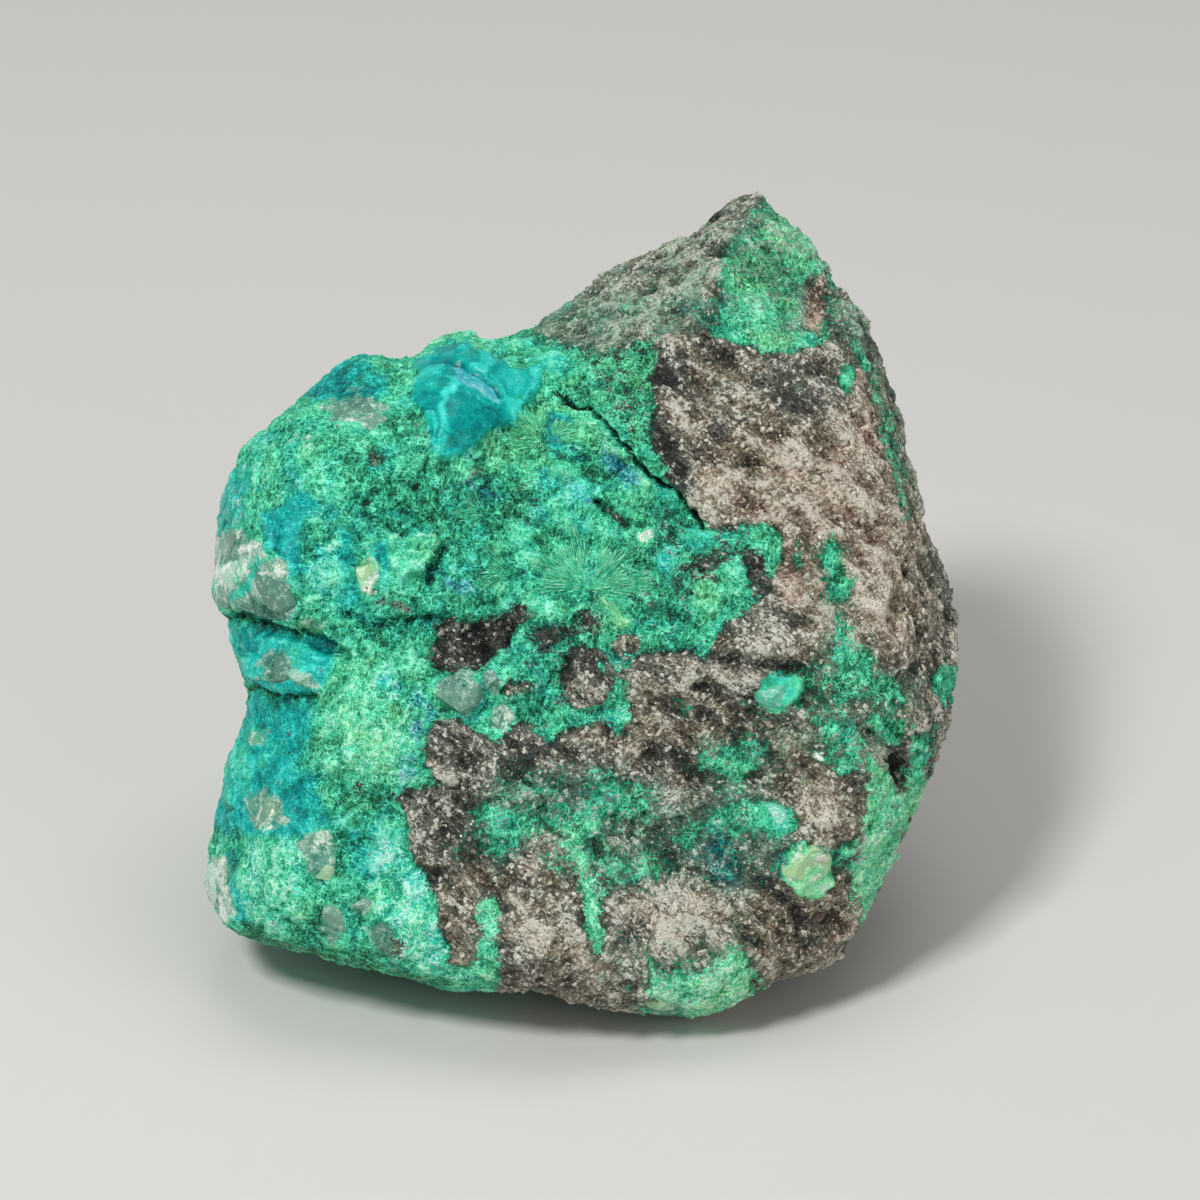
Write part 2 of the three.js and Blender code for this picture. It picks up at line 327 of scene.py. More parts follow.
PATCHES: tuple[Patch, ...] = (
    # The green crust, from broad areas to small ones.
    Patch("yellow_felt", Area(((-6.4, 14.4), (-5, 17.1), (-3.2, 18.9), (0, 18), (2.2, 14.4),
                               (-0.5, 13.5), (-2.8, 12.2), (-5, 10.8), (-7.7, 11.7),
                               (-8.6, 13.5))), Tone(teal=-0.5, pale=0.05), 0.9),
    Patch("olive_corner", Area(((-1.4, 22.5), (2.2, 23), (6.7, 22.5), (6.7, 18), (7.1, 14.4),
                                (5.8, 14.4), (3.1, 16.2), (-0.5, 18.9))),
          Tone(rock=-0.5, teal=-0.3, pale=-0.15), 0.6),
    Patch("olive_grains", Area(((3, 20.4), (5.4, 20.6), (6, 17.6), (5.8, 15.4), (4, 16),
                                (3, 18))), Tone(rock=-0.15, warm=0.1), 0.8),
    Patch("dome_shade", Blob((-16.3, 8.5), (4.5, 3.2)), Tone(pale=-0.4), 1.2),
    Patch("dome_mint", Blob((-27.9, 10.4), (3.2, 1.6)), Tone(pale=0.4, teal=0.1), 0.8),
    Patch("dome_wet", Area(((-24, 9), (-20, 8.2), (-19.6, 4), (-20, 0), (-24.6, -1.6),
                            (-25, 4))), Tone(teal=0.45, pale=0.25), 1.0),
    Patch("shaded_middle", Area(((-12, 12), (-7, 11), (-4, 9), (-4, 6.6), (-9, 6), (-14, 7),
                                 (-14, 10))), Tone(pale=-0.35), 1.0),
    Patch("rough_green", Area(((4, 7.2), (9.4, 9), (11.2, 6.8), (15.7, 6.3), (16.1, 0),
                               (11.2, -3.6), (5.8, -1.8), (3.5, 0), (4, 3.6))),
          Tone(rock=-0.3, pale=-0.1, teal=0.0, warm=-0.8), 0.7),
    Patch("mingled_middle", Area(((-4.6, -2), (-1.4, -2.5), (2.2, -3.2), (5.8, -2.3),
                                  (9.4, -2.7), (11.9, -4.5), (5.8, -5), (4.1, -6.8),
                                  (5, -9.5), (3.2, -12.2), (-1.4, -12.2), (-2.8, -13),
                                  (-5, -11.5), (-6.4, -9), (-5.5, -6.3), (-6.4, -4.5))),
          Tone(rock=-0.45, pale=-0.1, teal=0.15, warm=-0.5), 0.6),
    Patch("malachite_pillow", Area(((-23, -4.5), (-20.3, -4.5), (-16.7, -5.9), (-13.6, -9),
                                    (-14, -12.6), (-15.8, -16.2), (-20.3, -17.1),
                                    (-23, -15.3), (-24.1, -12.6), (-23, -9))),
          Tone(teal=-0.15, pale=0.33), 0.6),
    Patch("pillow_core", Blob((-18.4, -10.6), (3.2, 2.2)), Tone(teal=-0.3, pale=0.38), 1.2),
    Patch("turquoise_apron", Area(((-17.6, -20.7), (-14.9, -22.5), (-12.4, -27.5),
                                   (-11.6, -31.5), (-11.5, -34.2), (-15.8, -33.3),
                                   (-17.6, -29.7), (-18.5, -26.1))),
          Tone(teal=0.3, pale=0.72), 0.9),
    Patch("corner_pillow", Area(((-30.2, -21.6), (-24.8, -21.6), (-24.4, -25.2),
                                 (-24.8, -29.7), (-28.4, -29.7), (-30.7, -27.5),
                                 (-31.1, -24.3))), Tone(teal=0.15, pale=0.5), 0.6),
    # Glassy blue-green chrysocolla.
    Patch("teal_top_edge", Area(((-25.4, 18), (-22.4, 21), (-19, 22.6), (-17.6, 20),
                                 (-16.7, 18.5), (-20.3, 18), (-23, 17.8))),
          Tone(teal=0.85, pale=-0.25, glass=0.4), 0.4),
    Patch("teal_left_edge", Area(((-31.6, 10.8), (-29.8, 12.4), (-29.3, 9.9), (-29.8, 6.3),
                                  (-33, 6.4), (-33, 9.4))),
          Tone(teal=0.7, pale=0.1, glass=0.5, quartz=0.25), 0.5),
    Patch("teal_seam", Area(((-27.5, 8.1), (-24.8, 9.5), (-23.5, 9), (-24.4, 6.3),
                             (-24.7, 2.7), (-25.7, 1.8), (-28, 5), (-28.9, 6.3))),
          Tone(teal=0.9, pale=-0.15, glass=0.6, blue=0.25), 0.4),
    Patch("teal_drip", Area(((-21.7, 6.8), (-20.2, 7.2), (-19.9, 3.6), (-19.6, 0),
                             (-20.8, -0.4), (-21.2, 2.3))),
          Tone(teal=0.85, pale=-0.1, glass=0.4), 0.4),
    Patch("block", Area(((-14.2, 21.2), (-13.1, 22.6), (-11.8, 23.8), (-9.5, 23.8),
                         (-7.7, 21.6), (-5.9, 20.5), (-2.8, 21.2), (-3.2, 19.4),
                         (-5.5, 15.8), (-7.7, 15.1), (-10, 14), (-11.3, 13), (-12.2, 12.8),
                         (-13.3, 14.4), (-13.7, 16.7), (-14.2, 18))),
          Tone(teal=1.0, glass=1.0, pale=-0.32, proud=0.5), 0.3),
    Patch("block_shoulder", Area(((-5, 23), (-1.4, 22.5), (1.3, 21.6), (-0.5, 19.8),
                                  (-2.8, 19.4))), Tone(teal=0.3, pale=0.15, glass=0.4), 0.6),
    Patch("block_deep", Area(((-10.9, 18.9), (-6.8, 17.3), (-6.4, 16.2), (-9.5, 14.4),
                              (-11.5, 14.4), (-11.9, 16.2))), Tone(pale=-0.45), 0.4),
    Patch("block_smooth", Area(((-6.4, 20.3), (-2.8, 21.1), (-4.1, 18), (-5.5, 15.8),
                                (-6.6, 16.2))), Tone(teal=0.8, pale=0.2), 0.5),
    Patch("block_slab", Area(((-11.2, 21.4), (-10.3, 22.3), (-8.6, 21.8), (-7.4, 20.5),
                              (-8.2, 19.6), (-10, 20.3))),
          Tone(teal=0.85, pale=0.12, proud=1.0), 0.2),
    Patch("block_mirror", Area(((-11.4, 20.8), (-8.9, 19.6), (-6.6, 18), (-7.1, 17.3),
                                (-9.5, 18), (-11.1, 19.4))),
          Tone(blue=1.0, teal=1.0, pale=0.4, glass=1.0), 0.12),
    Patch("block_line", Stroke(((-11.6, 20.9), (-9, 19.7), (-6.6, 18.1)), 0.15),
          Tone(pale=-1.0, blue=0.0, proud=0.1), 0.15),
    Patch("block_rim", Stroke(((-13.4, 22.2), (-11.8, 23.4), (-9.6, 23.4), (-7.8, 21.9)), 0.7),
          Tone(teal=-0.1, pale=0.35, glass=0.1), 0.4),
    Patch("block_vein", Stroke(((-11.2, 19.4), (-12, 16.2), (-12.2, 14.4)), 0.22),
          Tone(pale=0.7), 0.2),
    Patch("block_tongue", Blob((-12.6, 14.2), (1.2, 1.6)), Tone(pale=0.3), 0.4),
    Patch("dark_teal_pools", Area(((-3.4, 15.8), (-2.2, 16.9), (-0.7, 16.7), (-0.1, 14.4),
                                   (-1.4, 13.5), (-2.5, 14.6))),
          Tone(teal=0.9, pale=-0.7, glass=0.6), 0.4),
    Patch("dark_pool", Blob((0.4, 12.7), (2.2, 1.3), -20), Tone(pale=-0.6, teal=0.2), 0.6),
    Patch("rosette", Blob((-2.2, 10.3), (1.9, 1.8)), Tone(teal=0.3, pale=0.35), 0.3),
    Patch("rosette_heart", Blob((-2.2, 10.5), (1.3, 1.2)), Tone(teal=0.6, pale=-0.1), 0.3),
    Patch("deep_pocket", Blob((-17.6, 3.8), (1.0, 1.2)), Tone(teal=0.9, pale=-0.5, glass=0.5)),
    Patch("teal_lobe", Blob((10.9, 5.4), (1.4, 1.1)),
          Tone(rock=-1.0, teal=0.5, pale=-0.05, glass=0.6, proud=0.5), 0.3),
    Patch("teal_speck", Blob((8.0, 3.6), (0.9, 0.8)), Tone(rock=-1.0, teal=0.4, pale=0.4)),
    Patch("pale_lobe", Blob((-1.6, -1.0), (2.0, 1.0)),
          Tone(teal=-0.1, pale=0.3, glass=0.3, proud=0.3), 0.4),
    Patch("pale_ledge", Blob((-4.2, -0.2), (1.8, 0.6)), Tone(teal=0.2, pale=0.3), 0.4),
    # Azurite.
    Patch("azurite_seam", Area(((2.6, 14.4), (3.5, 13.5), (5.8, 11.3), (5.3, 9.9), (3.8, 10.6),
                                (2.6, 12.2))), Tone(blue=0.9, pale=-0.3), 0.6),
    Patch("azurite_small", Blob((0.9, 9.4), (1.7, 1.1)), Tone(blue=0.4, teal=0.7), 0.6),
    Patch("azurite_shade", Blob((-9.0, 9.9), (2.2, 1.2), -20), Tone(blue=0.5, pale=-0.6), 0.6),
    Patch("azurite_dash", Blob((-10.6, 1.1), (1.8, 0.9)), Tone(blue=0.85, pale=0.1), 0.5),
    Patch("azurite_streak", Stroke(((-17, -7), (-14, -8.8), (-12.6, -11)), 0.6),
          Tone(blue=0.45, teal=0.4, pale=0.3), 0.5),
    Patch("azurite_knot", Blob((-14.5, -12.0), (0.8, 1.3)), Tone(blue=0.8), 0.4),
    Patch("azurite_low", Blob((-15.5, -15.5), (0.9, 1.3)), Tone(blue=0.8), 0.5),
    # The left knobs and the teal flank below them.
    Patch("teal_flank", Area(((-29.3, -8.6), (-24.8, -9.5), (-23.2, -9), (-23.8, -11.7),
                              (-24.7, -14.4), (-23.5, -17.1), (-21.7, -18.9),
                              (-22.1, -20.7), (-24.8, -21.2), (-30.2, -21.2), (-34, -20),
                              (-34, -15), (-32.4, -12), (-30.6, -9.8))),
          Tone(teal=0.85, glass=0.55, pale=-0.2), 0.5),
    Patch("flank_mint", Area(((-31.4, -13), (-29.4, -12.6), (-28.4, -14.6), (-28.8, -17.4),
                              (-31.6, -17.6))), Tone(teal=0.45, pale=0.2), 0.6),
    Patch("knob", Area(((-34, 5.4), (-30.7, 6.5), (-28.9, 5.4), (-27.5, 3.6), (-25.7, 3.6),
                        (-25.5, 0.9), (-25.7, -1.8), (-28.3, -2), (-30.2, -1.1), (-34, 0),
                        (-34, 2.7))), Tone(quartz=0.75, glass=0.6, teal=0.5, pale=0.1), 0.3),
    Patch("knob_crest", Area(((-33, 2.6), (-31, 3.6), (-29.3, 4), (-29.2, 3.2), (-30.2, 1.8),
                              (-33, 0.6))), Tone(quartz=0.55, pale=0.9), 0.3),
    Patch("knob_shade", Area(((-29.2, 0), (-26, 0.2), (-25.8, -1.8), (-28.3, -1.9),
                              (-29.6, -1.0))), Tone(quartz=0.85, pale=-0.5), 0.4),
    Patch("knob_fleck", Blob((-29.8, 4.5), (0.8, 0.4), 20), Tone(pale=1.0), 0.2),
    Patch("knob_fleck_two", Blob((-26.9, 2.7), (0.5, 0.9), 30), Tone(pale=0.8), 0.3),
    Patch("knob_seam", Stroke(((-30.6, -0.4), (-30, 1.0), (-28.6, 3.4)), 0.3),
          Tone(quartz=0.1, teal=0.7, pale=0.2), 0.2),
    Patch("lower_knob", Area(((-31, -2.3), (-27.1, -2.9), (-22.6, -3.6), (-22.1, -5.9),
                              (-23.2, -8.6), (-25.7, -9), (-28.9, -8.1), (-31, -5.4))),
          Tone(teal=0.85, glass=0.6, pale=0.0, quartz=0.15), 0.4),
    Patch("lower_knob_grain", Blob((-27.1, -5.9), (1.6, 1.4), -20),
          Tone(quartz=0.7, pale=-0.45), 0.4),
    Patch("lower_knob_chip", Blob((-24.4, -7.0), (1.1, 0.6), -10),
          Tone(quartz=0.9, pale=0.3), 0.3),
    Patch("side_grain", Blob((-23.9, -2.2), (1.1, 0.8)), Tone(quartz=0.6, teal=-0.4, pale=-0.2)),
    Patch("corner_tooth", Area(((-36, -26.1), (-32.5, -23.2), (-31.3, -22.9), (-31, -26.1),
                                (-30.7, -28.4), (-34, -30))),
          Tone(quartz=0.75, pale=0.65, glass=0.6), 0.3),
    Patch("corner_seam", Stroke(((-30.9, -22.8), (-30.7, -26), (-29.6, -28.8)), 0.4),
          Tone(teal=0.8, pale=-0.2, glass=0.4), 0.3),
    # Quartz grains.
    Patch("quartz_dome", Blob((-19.9, 17.1), (2.7, 1.4)), Tone(quartz=0.75, pale=0.0), 0.5),
    Patch("quartz_haze", Blob((-24.3, 14.2), (1.4, 1.1)), Tone(quartz=0.4), 0.8),
    Patch("quartz_shade", Blob((-14.6, 15.4), (1.8, 1.5)), Tone(rock=-0.35, pale=-0.4), 0.8),
    Patch("quartz_white", Blob((-22.1, 4.9), (0.7, 0.4)), Tone(quartz=0.4, pale=1.0), 0.3),
    Patch("beige_grain", Area(((-19.6, 3.4), (-18.7, 3.6), (-17.8, 2.5), (-18.4, 0.5),
                               (-19.3, 0.7), (-19.7, 2))),
          Tone(quartz=0.55, teal=-0.8, pale=0.5, glass=0.5, proud=0.35), 0.2),
    Patch("brown_grains", Area(((-18.1, 0), (-15.8, 0.3), (-14.8, -1.6), (-16.3, -1.4),
                                (-17.6, -0.7))), Tone(rock=0.0, warm=0.7, quartz=0.5), 0.4),
    Patch("plate", Area(((-17, 6), (-12.5, 5.5), (-13.1, 3.6), (-13.6, 2.2), (-15.8, 1.8),
                         (-17.2, 3.6))),
          Tone(teal=-0.1, pale=0.3, glass=0.3, proud=1.0), 0.12),
    Patch("plate_edge", Stroke(((-16.9, 5.8), (-12.6, 5.4), (-13.2, 3.5)), 0.2),
          Tone(pale=0.9, glass=0.0), 0.12),
    Patch("plate_shadow", Stroke(((-11.9, 4.8), (-12.4, 3.4), (-13.2, 1.7)), 0.5),
          Tone(pale=-1.0, proud=-0.6), 0.3),
    Patch("quartz_middle", Area(((-12.5, -7.2), (-10.9, -6.5), (-9.1, -6.8), (-9.4, -9),
                                 (-10.9, -9.9), (-12.2, -9))),
          Tone(quartz=0.95, glass=0.8, pale=0.0, rock=-1.0), 0.3),
    Patch("turquoise_sliver", Stroke(((-8.4, -6.8), (-8.8, -9.3)), 0.4),
          Tone(rock=-1.0, teal=0.4, pale=0.4, quartz=0.0), 0.2),
    Patch("quartz_dark", Blob((-7.5, -7.4), (0.8, 1.1)),
          Tone(quartz=0.8, pale=-0.6, rock=-1.0), 0.3),
    Patch("quartz_upright", Area(((-7.7, -9.5), (-6.4, -9.3), (-5.8, -10.8), (-6.4, -12),
                                  (-7.7, -11.7))),
          Tone(quartz=0.95, glass=0.8, pale=0.2, rock=-1.0, proud=0.2), 0.25),
    Patch("quartz_flank", Area(((-29.8, -18), (-28, -17.1), (-26.2, -18.5), (-25.7, -20.3),
                                (-28.9, -20.7))), Tone(quartz=0.7, pale=0.15), 0.4),
    Patch("quartz_bead", Blob((-28.6, -12.4), (1.0, 0.6)), Tone(quartz=0.7, pale=0.4)),
    Patch("quartz_lower", Area(((-24.4, -20.7), (-22.6, -20.5), (-21.7, -22.5),
                                (-21.9, -24.8), (-23.2, -25.7), (-24.4, -24.3),
                                (-24.8, -22.5))), Tone(quartz=0.8, pale=0.1, glass=0.5), 0.4),
    Patch("quartz_pip", Blob((-19.2, -27.3), (1.0, 0.9)), Tone(quartz=0.75, pale=-0.1)),
    Patch("quartz_low_left", Blob((-22.0, -29.2), (1.3, 1.7), 20),
          Tone(quartz=0.6, pale=-0.2, teal=-0.4), 0.5),
    Patch("quartz_low_mid", Blob((-17.4, -30.8), (1.1, 2.1), 20), Tone(quartz=0.7, pale=-0.3)),
    # Darker along the underside's rim: painted shade, on a yellower crust clouded with quartz.
    Patch("underside_strip", Stroke(((-31, -29.8), (-24.5, -31.9), (-19, -33.0), (-14, -34.6),
                                     (-9, -35.6), (-6, -35.4)), 0.8),
          Tone(teal=-0.4, pale=-0.5, quartz=0.35), 0.5),
)

ROCK_PATCHES: tuple[Patch, ...] = (
    # The host rock and its shades.
    Patch("host", Area(((7.1, 23), (6.7, 19.4), (7.2, 16.9), (6.8, 14.4), (8.3, 10.6),
                        (10.1, 9), (11.2, 7), (13.1, 6.3), (15.7, 6.8), (17.9, 6.1),
                        (18.5, 3.6), (17.5, 0.9), (15.5, -1.1), (13.1, -2.5), (11.9, -5),
                        (9.4, -4.7), (5.8, -5), (4.1, -6.8), (5, -9.5), (3.2, -12.2),
                        (2, -11.4), (-1.4, -12.2), (-2.2, -13.3), (-3.2, -12.2),
                        (-4.3, -11.4), (-5.8, -11.8), (-6.6, -12.9), (-8.6, -12.4),
                        (-10.2, -11.4), (-11.5, -10.9), (-13, -11.4), (-13.7, -12.7),
                        (-13.5, -14.9), (-12.2, -16.2), (-14.2, -16.8), (-16.4, -17.5),
                        (-15.7, -18.5), (-14.9, -20.3), (-15.1, -22.3), (-14, -23.9),
                        (-12.6, -26.6), (-12.1, -28.8), (-11.6, -31.1), (-11.4, -34.7),
                        (-6.8, -38), (2.2, -42), (16.6, -42), (29.2, -36), (40, -22.5),
                        (40, 9), (34, 22.5), (29, 31), (22.9, 27.9), (22.7, 23.4),
                        (19.3, 22.3), (14.3, 23), (11.2, 24.3), (8.5, 23.6))),
          Tone(rock=1.15, warm=0.1, light=0.0, quartz=0.0, blue=0.0, glass=0.0, teal=-0.05,
               pale=0.0, proud=0.3),
          0.3),
    Patch("top_slope", Area(((-4.1, 24.3), (-1.4, 23), (2.2, 22.5), (5.8, 23), (8.5, 23.6),
                             (11.2, 24.3), (13.1, 25.2), (13.4, 31.5), (15.2, 32.9),
                             (16.4, 34.7), (17.5, 36), (18, 40), (11, 40), (2.2, 35),
                             (-6.8, 28))),
          Tone(rock=1.0, warm=0.1, light=0.4, film=0.5), 0.6),
    Patch("slope_green", Area(((-4, 24.6), (0, 23.4), (4, 24), (5, 25.4), (3, 27),
                               (-1, 28), (-5, 27))), Tone(film=0.8, rock=0.35), 1.0),
    Patch("slope_streak", Stroke(((7, 25), (10, 28.5)), 1.2), Tone(film=0.8), 0.8),
    Patch("slope_bead", Blob((11.1, 26.4), (1.6, 0.9), 10), Tone(rock=-0.2, pale=0.1), 0.5),
    Patch("slope_bead_two", Blob((5.7, 26.3), (0.9, 0.6), 10), Tone(rock=-0.1), 0.5),
    Patch("summit", Area(((13.4, 31.5), (13.7, 27), (14.3, 24.8), (16.1, 23), (19.3, 22.3),
                          (20.4, 24.3), (20.2, 27), (21.2, 28.8), (22.4, 29.9), (21.9, 32),
                          (20, 34.4), (18, 35.6), (16.4, 34.9), (14.8, 32.9))),
          Tone(rock=-0.05, teal=-0.4, pale=0.35, film=1.0, warm=0.0, light=0.55,
               proud=0.2), 0.5),
    Patch("summit_shade", Area(((15.4, 30.4), (18.6, 30.8), (20, 28.6), (19.8, 26.4),
                                (17.6, 26.6), (16.6, 28.6), (15, 28.8))),
          Tone(rock=0.1, pale=-0.1, light=0.1), 0.7),
    Patch("summit_lobe", Blob((15.0, 27.0), (1.5, 1.7)), Tone(rock=-0.5, teal=-0.4, pale=0.25)),
    Patch("summit_lobe_two", Blob((16.8, 24.8), (1.6, 2.0), 20),
          Tone(rock=-0.5, teal=-0.4, pale=0.25)),
    Patch("summit_lobe_three", Blob((20.4, 29.6), (1.0, 1.1)), Tone(rock=-1.0, pale=0.1)),
    Patch("brown_strip", Area(((20.6, 29), (22, 29.5), (22.7, 27.9), (22.4, 25.4),
                               (21.8, 23.9), (20.4, 24.3), (20.3, 27))),
          Tone(rock=1.0, warm=0.9, light=0.1), 0.3),
    Patch("summit_side", Area(((22.7, 28), (25.4, 26), (27, 20), (25.4, 21), (24.8, 23),
                               (22.6, 24))), Tone(rock=0.25, film=0.6, warm=0.1), 0.5),
    Patch("dark_brow", Area(((7.4, 22.6), (14.6, 24), (16, 22.4), (13, 21.6), (10, 21.8),
                             (9.4, 19.8), (7.4, 19))), Tone(warm=-0.15, light=-0.3), 0.8),
    Patch("black_nook", Blob((8.4, 12.4), (1.6, 3.0), 20), Tone(warm=-0.9, light=-0.7), 0.6),
    Patch("black_nook_two", Blob((8.2, 20.2), (1.2, 1.6)), Tone(warm=-0.7, light=-0.5), 0.6),
    Patch("dark_mottle", Area(((15, 22), (21, 21.6), (23.6, 19), (22, 16.4), (18, 17.4),
                               (15.4, 19))), Tone(warm=-0.2, light=-0.3), 1.2),
    Patch("tan_slope", Area(((10, 13), (16, 14), (21, 15.6), (26, 15), (30, 6), (30, -4),
                             (24, -4), (19, 0), (19, 6.6), (13, 7.4))),
          Tone(warm=0.6, light=0.75), 1.5),
    Patch("red_stain", Area(((25, 20.6), (26.2, 19.6), (28, 15), (28.4, 12), (26, 12.6),
                             (24.4, 16))), Tone(warm=1.0, light=0.3), 1.0),
    Patch("red_stain_two", Blob((19.4, 1.6), (1.2, 3.4), 10), Tone(warm=0.9, light=0.35), 0.7),
    Patch("ridge", Area(((4.4, -6.6), (9, -4.6), (12.4, -4.6), (14, -2.4), (17.6, -0.4),
                         (20, -3.4), (20.4, -6), (15, -8.6), (8, -8.6))),
          Tone(warm=-0.05, light=0.4, proud=0.6), 0.9),
    Patch("ridge_shadow", Stroke(((5.6, -5.0), (9, -4.5), (11.6, -5.0), (16, -6.0),
                                  (20.2, -6.2)), 0.35),
          Tone(light=-0.9, warm=-0.6, proud=-0.2), 0.4),
    Patch("black_flank", Area(((14.9, 4.7), (17, 3.6), (17.9, 0.9), (16.6, 0), (15.5, 1.8))),
          Tone(rock=1.0, warm=-0.9, light=-0.7), 0.4),
    Patch("black_middle", Area(((11.2, 5), (13, 3.6), (13.4, 1.4), (11.6, 0.5), (10.3, 1.4),
                                (10.1, 3.6))), Tone(rock=0.3, warm=-0.8, light=-0.4), 0.6),
    Patch("crust_lobe", Area(((-13.7, -12.6), (-11.5, -10.9), (-8.6, -12.2), (-6.6, -12.7),
                              (-3, -12.2), (0, -13), (4, -14), (8, -16), (11, -20),
                              (8, -21), (2, -17), (-6, -15.4), (-8, -18), (-9.6, -22),
                              (-12, -24), (-14.6, -22), (-15.6, -18), (-12.6, -16))),
          Tone(warm=-0.4, light=0.0, proud=0.5), 0.8),
    Patch("dark_cleft", Area(((8, -19), (11.6, -19.6), (11.4, -24), (9.6, -23.6), (7, -20.6))),
          Tone(rock=0.7, warm=-0.6, light=-0.55), 0.6),
    Patch("bright_foot", Area(((3, -26.4), (7, -24.6), (11.2, -25.6), (13.6, -29), (12, -32.4),
                               (6, -32.6), (2.6, -30))), Tone(warm=0.15, light=0.65), 1.0),
    Patch("grey_foot", Area(((-6.6, -25), (-1, -25), (0.6, -30), (1, -35), (-6, -35.4))),
          Tone(warm=0.05, light=0.1), 1.2),
    Patch("plum_foot", Area(((15, -26.2), (20, -27), (23.6, -25), (25, -29), (21, -33.6),
                             (16, -34.6), (14.6, -30))), Tone(warm=0.35, light=-0.1), 0.9),
    Patch("right_brown", Area(((18, -11), (22, -12), (26, -17), (25, -21), (20, -21.6),
                               (18, -16))), Tone(warm=0.2, light=0.05), 1.2),
    # Fine green scattered through the rock.
    Patch("veil_low", Area(((-8, -15), (-2, -14.6), (4, -15.4), (8, -17), (12, -17.6),
                            (16, -15), (20, -19), (20.6, -22), (15, -27), (10, -25),
                            (4, -26), (-2, -22), (-7, -24), (-10, -21))),
          Tone(rock=0.45, film=0.45, warm=-0.35), 1.2),
    Patch("veil_right", Area(((20, 5.4), (24.6, 5.6), (25.6, -2), (28, -6), (31, -6),
                              (31, -12), (28, -14.8), (24, -16), (20.4, -13), (20.6, -8),
                              (21.6, -3))), Tone(rock=0.55, film=0.4), 1.2),
    Patch("veil_spur", Area(((10, -12), (14, -11.4), (18, -9.6), (21, -12), (19, -17),
                             (14, -18), (10, -16))), Tone(rock=0.6, film=0.35), 1.0),
    Patch("veil_edge", Area(((23, 24), (26, 20), (28, 14), (31, 8), (33, 0), (34, 9),
                             (30, 18), (26, 25))), Tone(rock=0.7, film=0.5), 1.0),
    Patch("veil_foot", Area(((2, -29), (8, -30), (15, -28), (18, -33), (14, -38), (3, -38))),
          Tone(rock=0.6, film=0.3), 1.0),
    # Rock that shows through the crust.
    Patch("pit", Area(((-13.1, -5), (-12.5, -4), (-12.2, -2.7), (-11.3, -1.6), (-10, -2),
                       (-8.2, -1.8), (-6.8, -1.2), (-5, -0.5), (-4, -1.1), (-4.8, -2),
                       (-6.1, -2.9), (-6.4, -4), (-7.7, -5.1), (-8.6, -6.2), (-10.4, -6.6),
                       (-12.1, -6.3))),
          Tone(rock=1.0, warm=-0.8, light=-0.45, proud=-0.7), 0.35),
    Patch("pit_small", Blob((-2.8, -3.2), (1.5, 0.9)), Tone(rock=0.6, warm=-0.8, light=-0.4)),
    Patch("under_bundle", Area(((-0.1, -1.4), (2.2, -0.5), (3.2, -1.8), (2.2, -2.9),
                                (0.2, -3.2), (-1.4, -3.6))),
          Tone(rock=0.4, warm=-0.7, light=-0.5), 0.5),
    Patch("round_window", Blob((1.1, -7.2), (2.4, 2.6)),
          Tone(rock=1.0, warm=-0.15, light=-0.05, proud=-0.1), 0.35),
    Patch("window_dot", Blob((2.2, -6.0), (0.35, 0.45)), Tone(rock=-1.0, teal=0.5), 0.2),
    Patch("small_window", Blob((4.6, -4.0), (1.2, 1.1)), Tone(rock=0.8, warm=-0.1, light=0.1)),
    Patch("nut", Blob((-5.3, -7.9), (0.9, 0.6)), Tone(rock=1.0, warm=0.1, light=0.0), 0.25),
    Patch("brown_dot", Blob((-18.2, 13.1), (0.6, 0.5)), Tone(rock=1.0, warm=0.7, light=-0.3)),
    Patch("brown_fleck", Blob((-9.6, 11.6), (1.4, 1.0)), Tone(rock=-0.05, warm=0.4), 0.5),
    Patch("brown_fleck_two", Blob((-4.3, 9.0), (1.1, 2.0)), Tone(rock=-0.2, warm=0.4), 0.6),
    Patch("black_dot", Blob((-19.6, -16.8), (0.6, 0.5)), Tone(rock=1.0, warm=-0.8, light=-0.4)),
    Patch("low_dot", Blob((-16.1, -31.2), (0.8, 0.9)), Tone(rock=0.3, warm=0.2)),
    # Green that lies on the rock.
    Patch("tongue", Area(((-8.2, -26.8), (-7.3, -27), (-7, -30.6), (-7.1, -36), (-11.4, -36),
                          (-11.4, -32.9), (-9.5, -32.9), (-8.8, -30.6), (-9.1, -28.8))),
          Tone(rock=-0.9, pale=0.45, teal=0.0, proud=0.0), 0.3),
    Patch("net_left", Area(((-9.4, -18.7), (-7.7, -18.3), (-5, -19.1), (-2.5, -18.5),
                            (-1.8, -20), (-4.1, -20.9), (-5.2, -22.5), (-6.8, -24.1),
                            (-8.2, -22.5), (-9.7, -21.8), (-8.8, -20.3))),
          Tone(rock=-0.4, pale=-0.05, teal=0.05), 0.5),
    Patch("net_dark", Area(((-6.8, -14), (-3.2, -14.9), (0.4, -16.7), (2.2, -18), (-1.4, -19.1),
                            (-5, -18), (-6.8, -17.1))), Tone(rock=0.1, pale=-0.4, teal=0.1), 0.8),
    Patch("net_middle", Area(((1.3, -15.1), (3.5, -15.8), (6.7, -16.4), (7.1, -18),
                              (5.8, -19.8), (3.1, -19.4), (2.2, -21.6), (-0.1, -21.6),
                              (-1.9, -19.4), (1.3, -18))), Tone(rock=-0.3, pale=-0.1), 0.5),
    Patch("green_column", Stroke(((-1, -20.7), (0.8, -24.3), (1.3, -27), (1.5, -31)), 0.9),
          Tone(rock=-0.6, pale=0.45, teal=-0.3), 0.4),
    Patch("green_spread", Area(((0.4, -22), (2.2, -23), (6.7, -23), (9.4, -24.3),
                                (5.8, -26.6), (2.2, -26.1))), Tone(rock=-0.1, pale=0.1), 0.6),
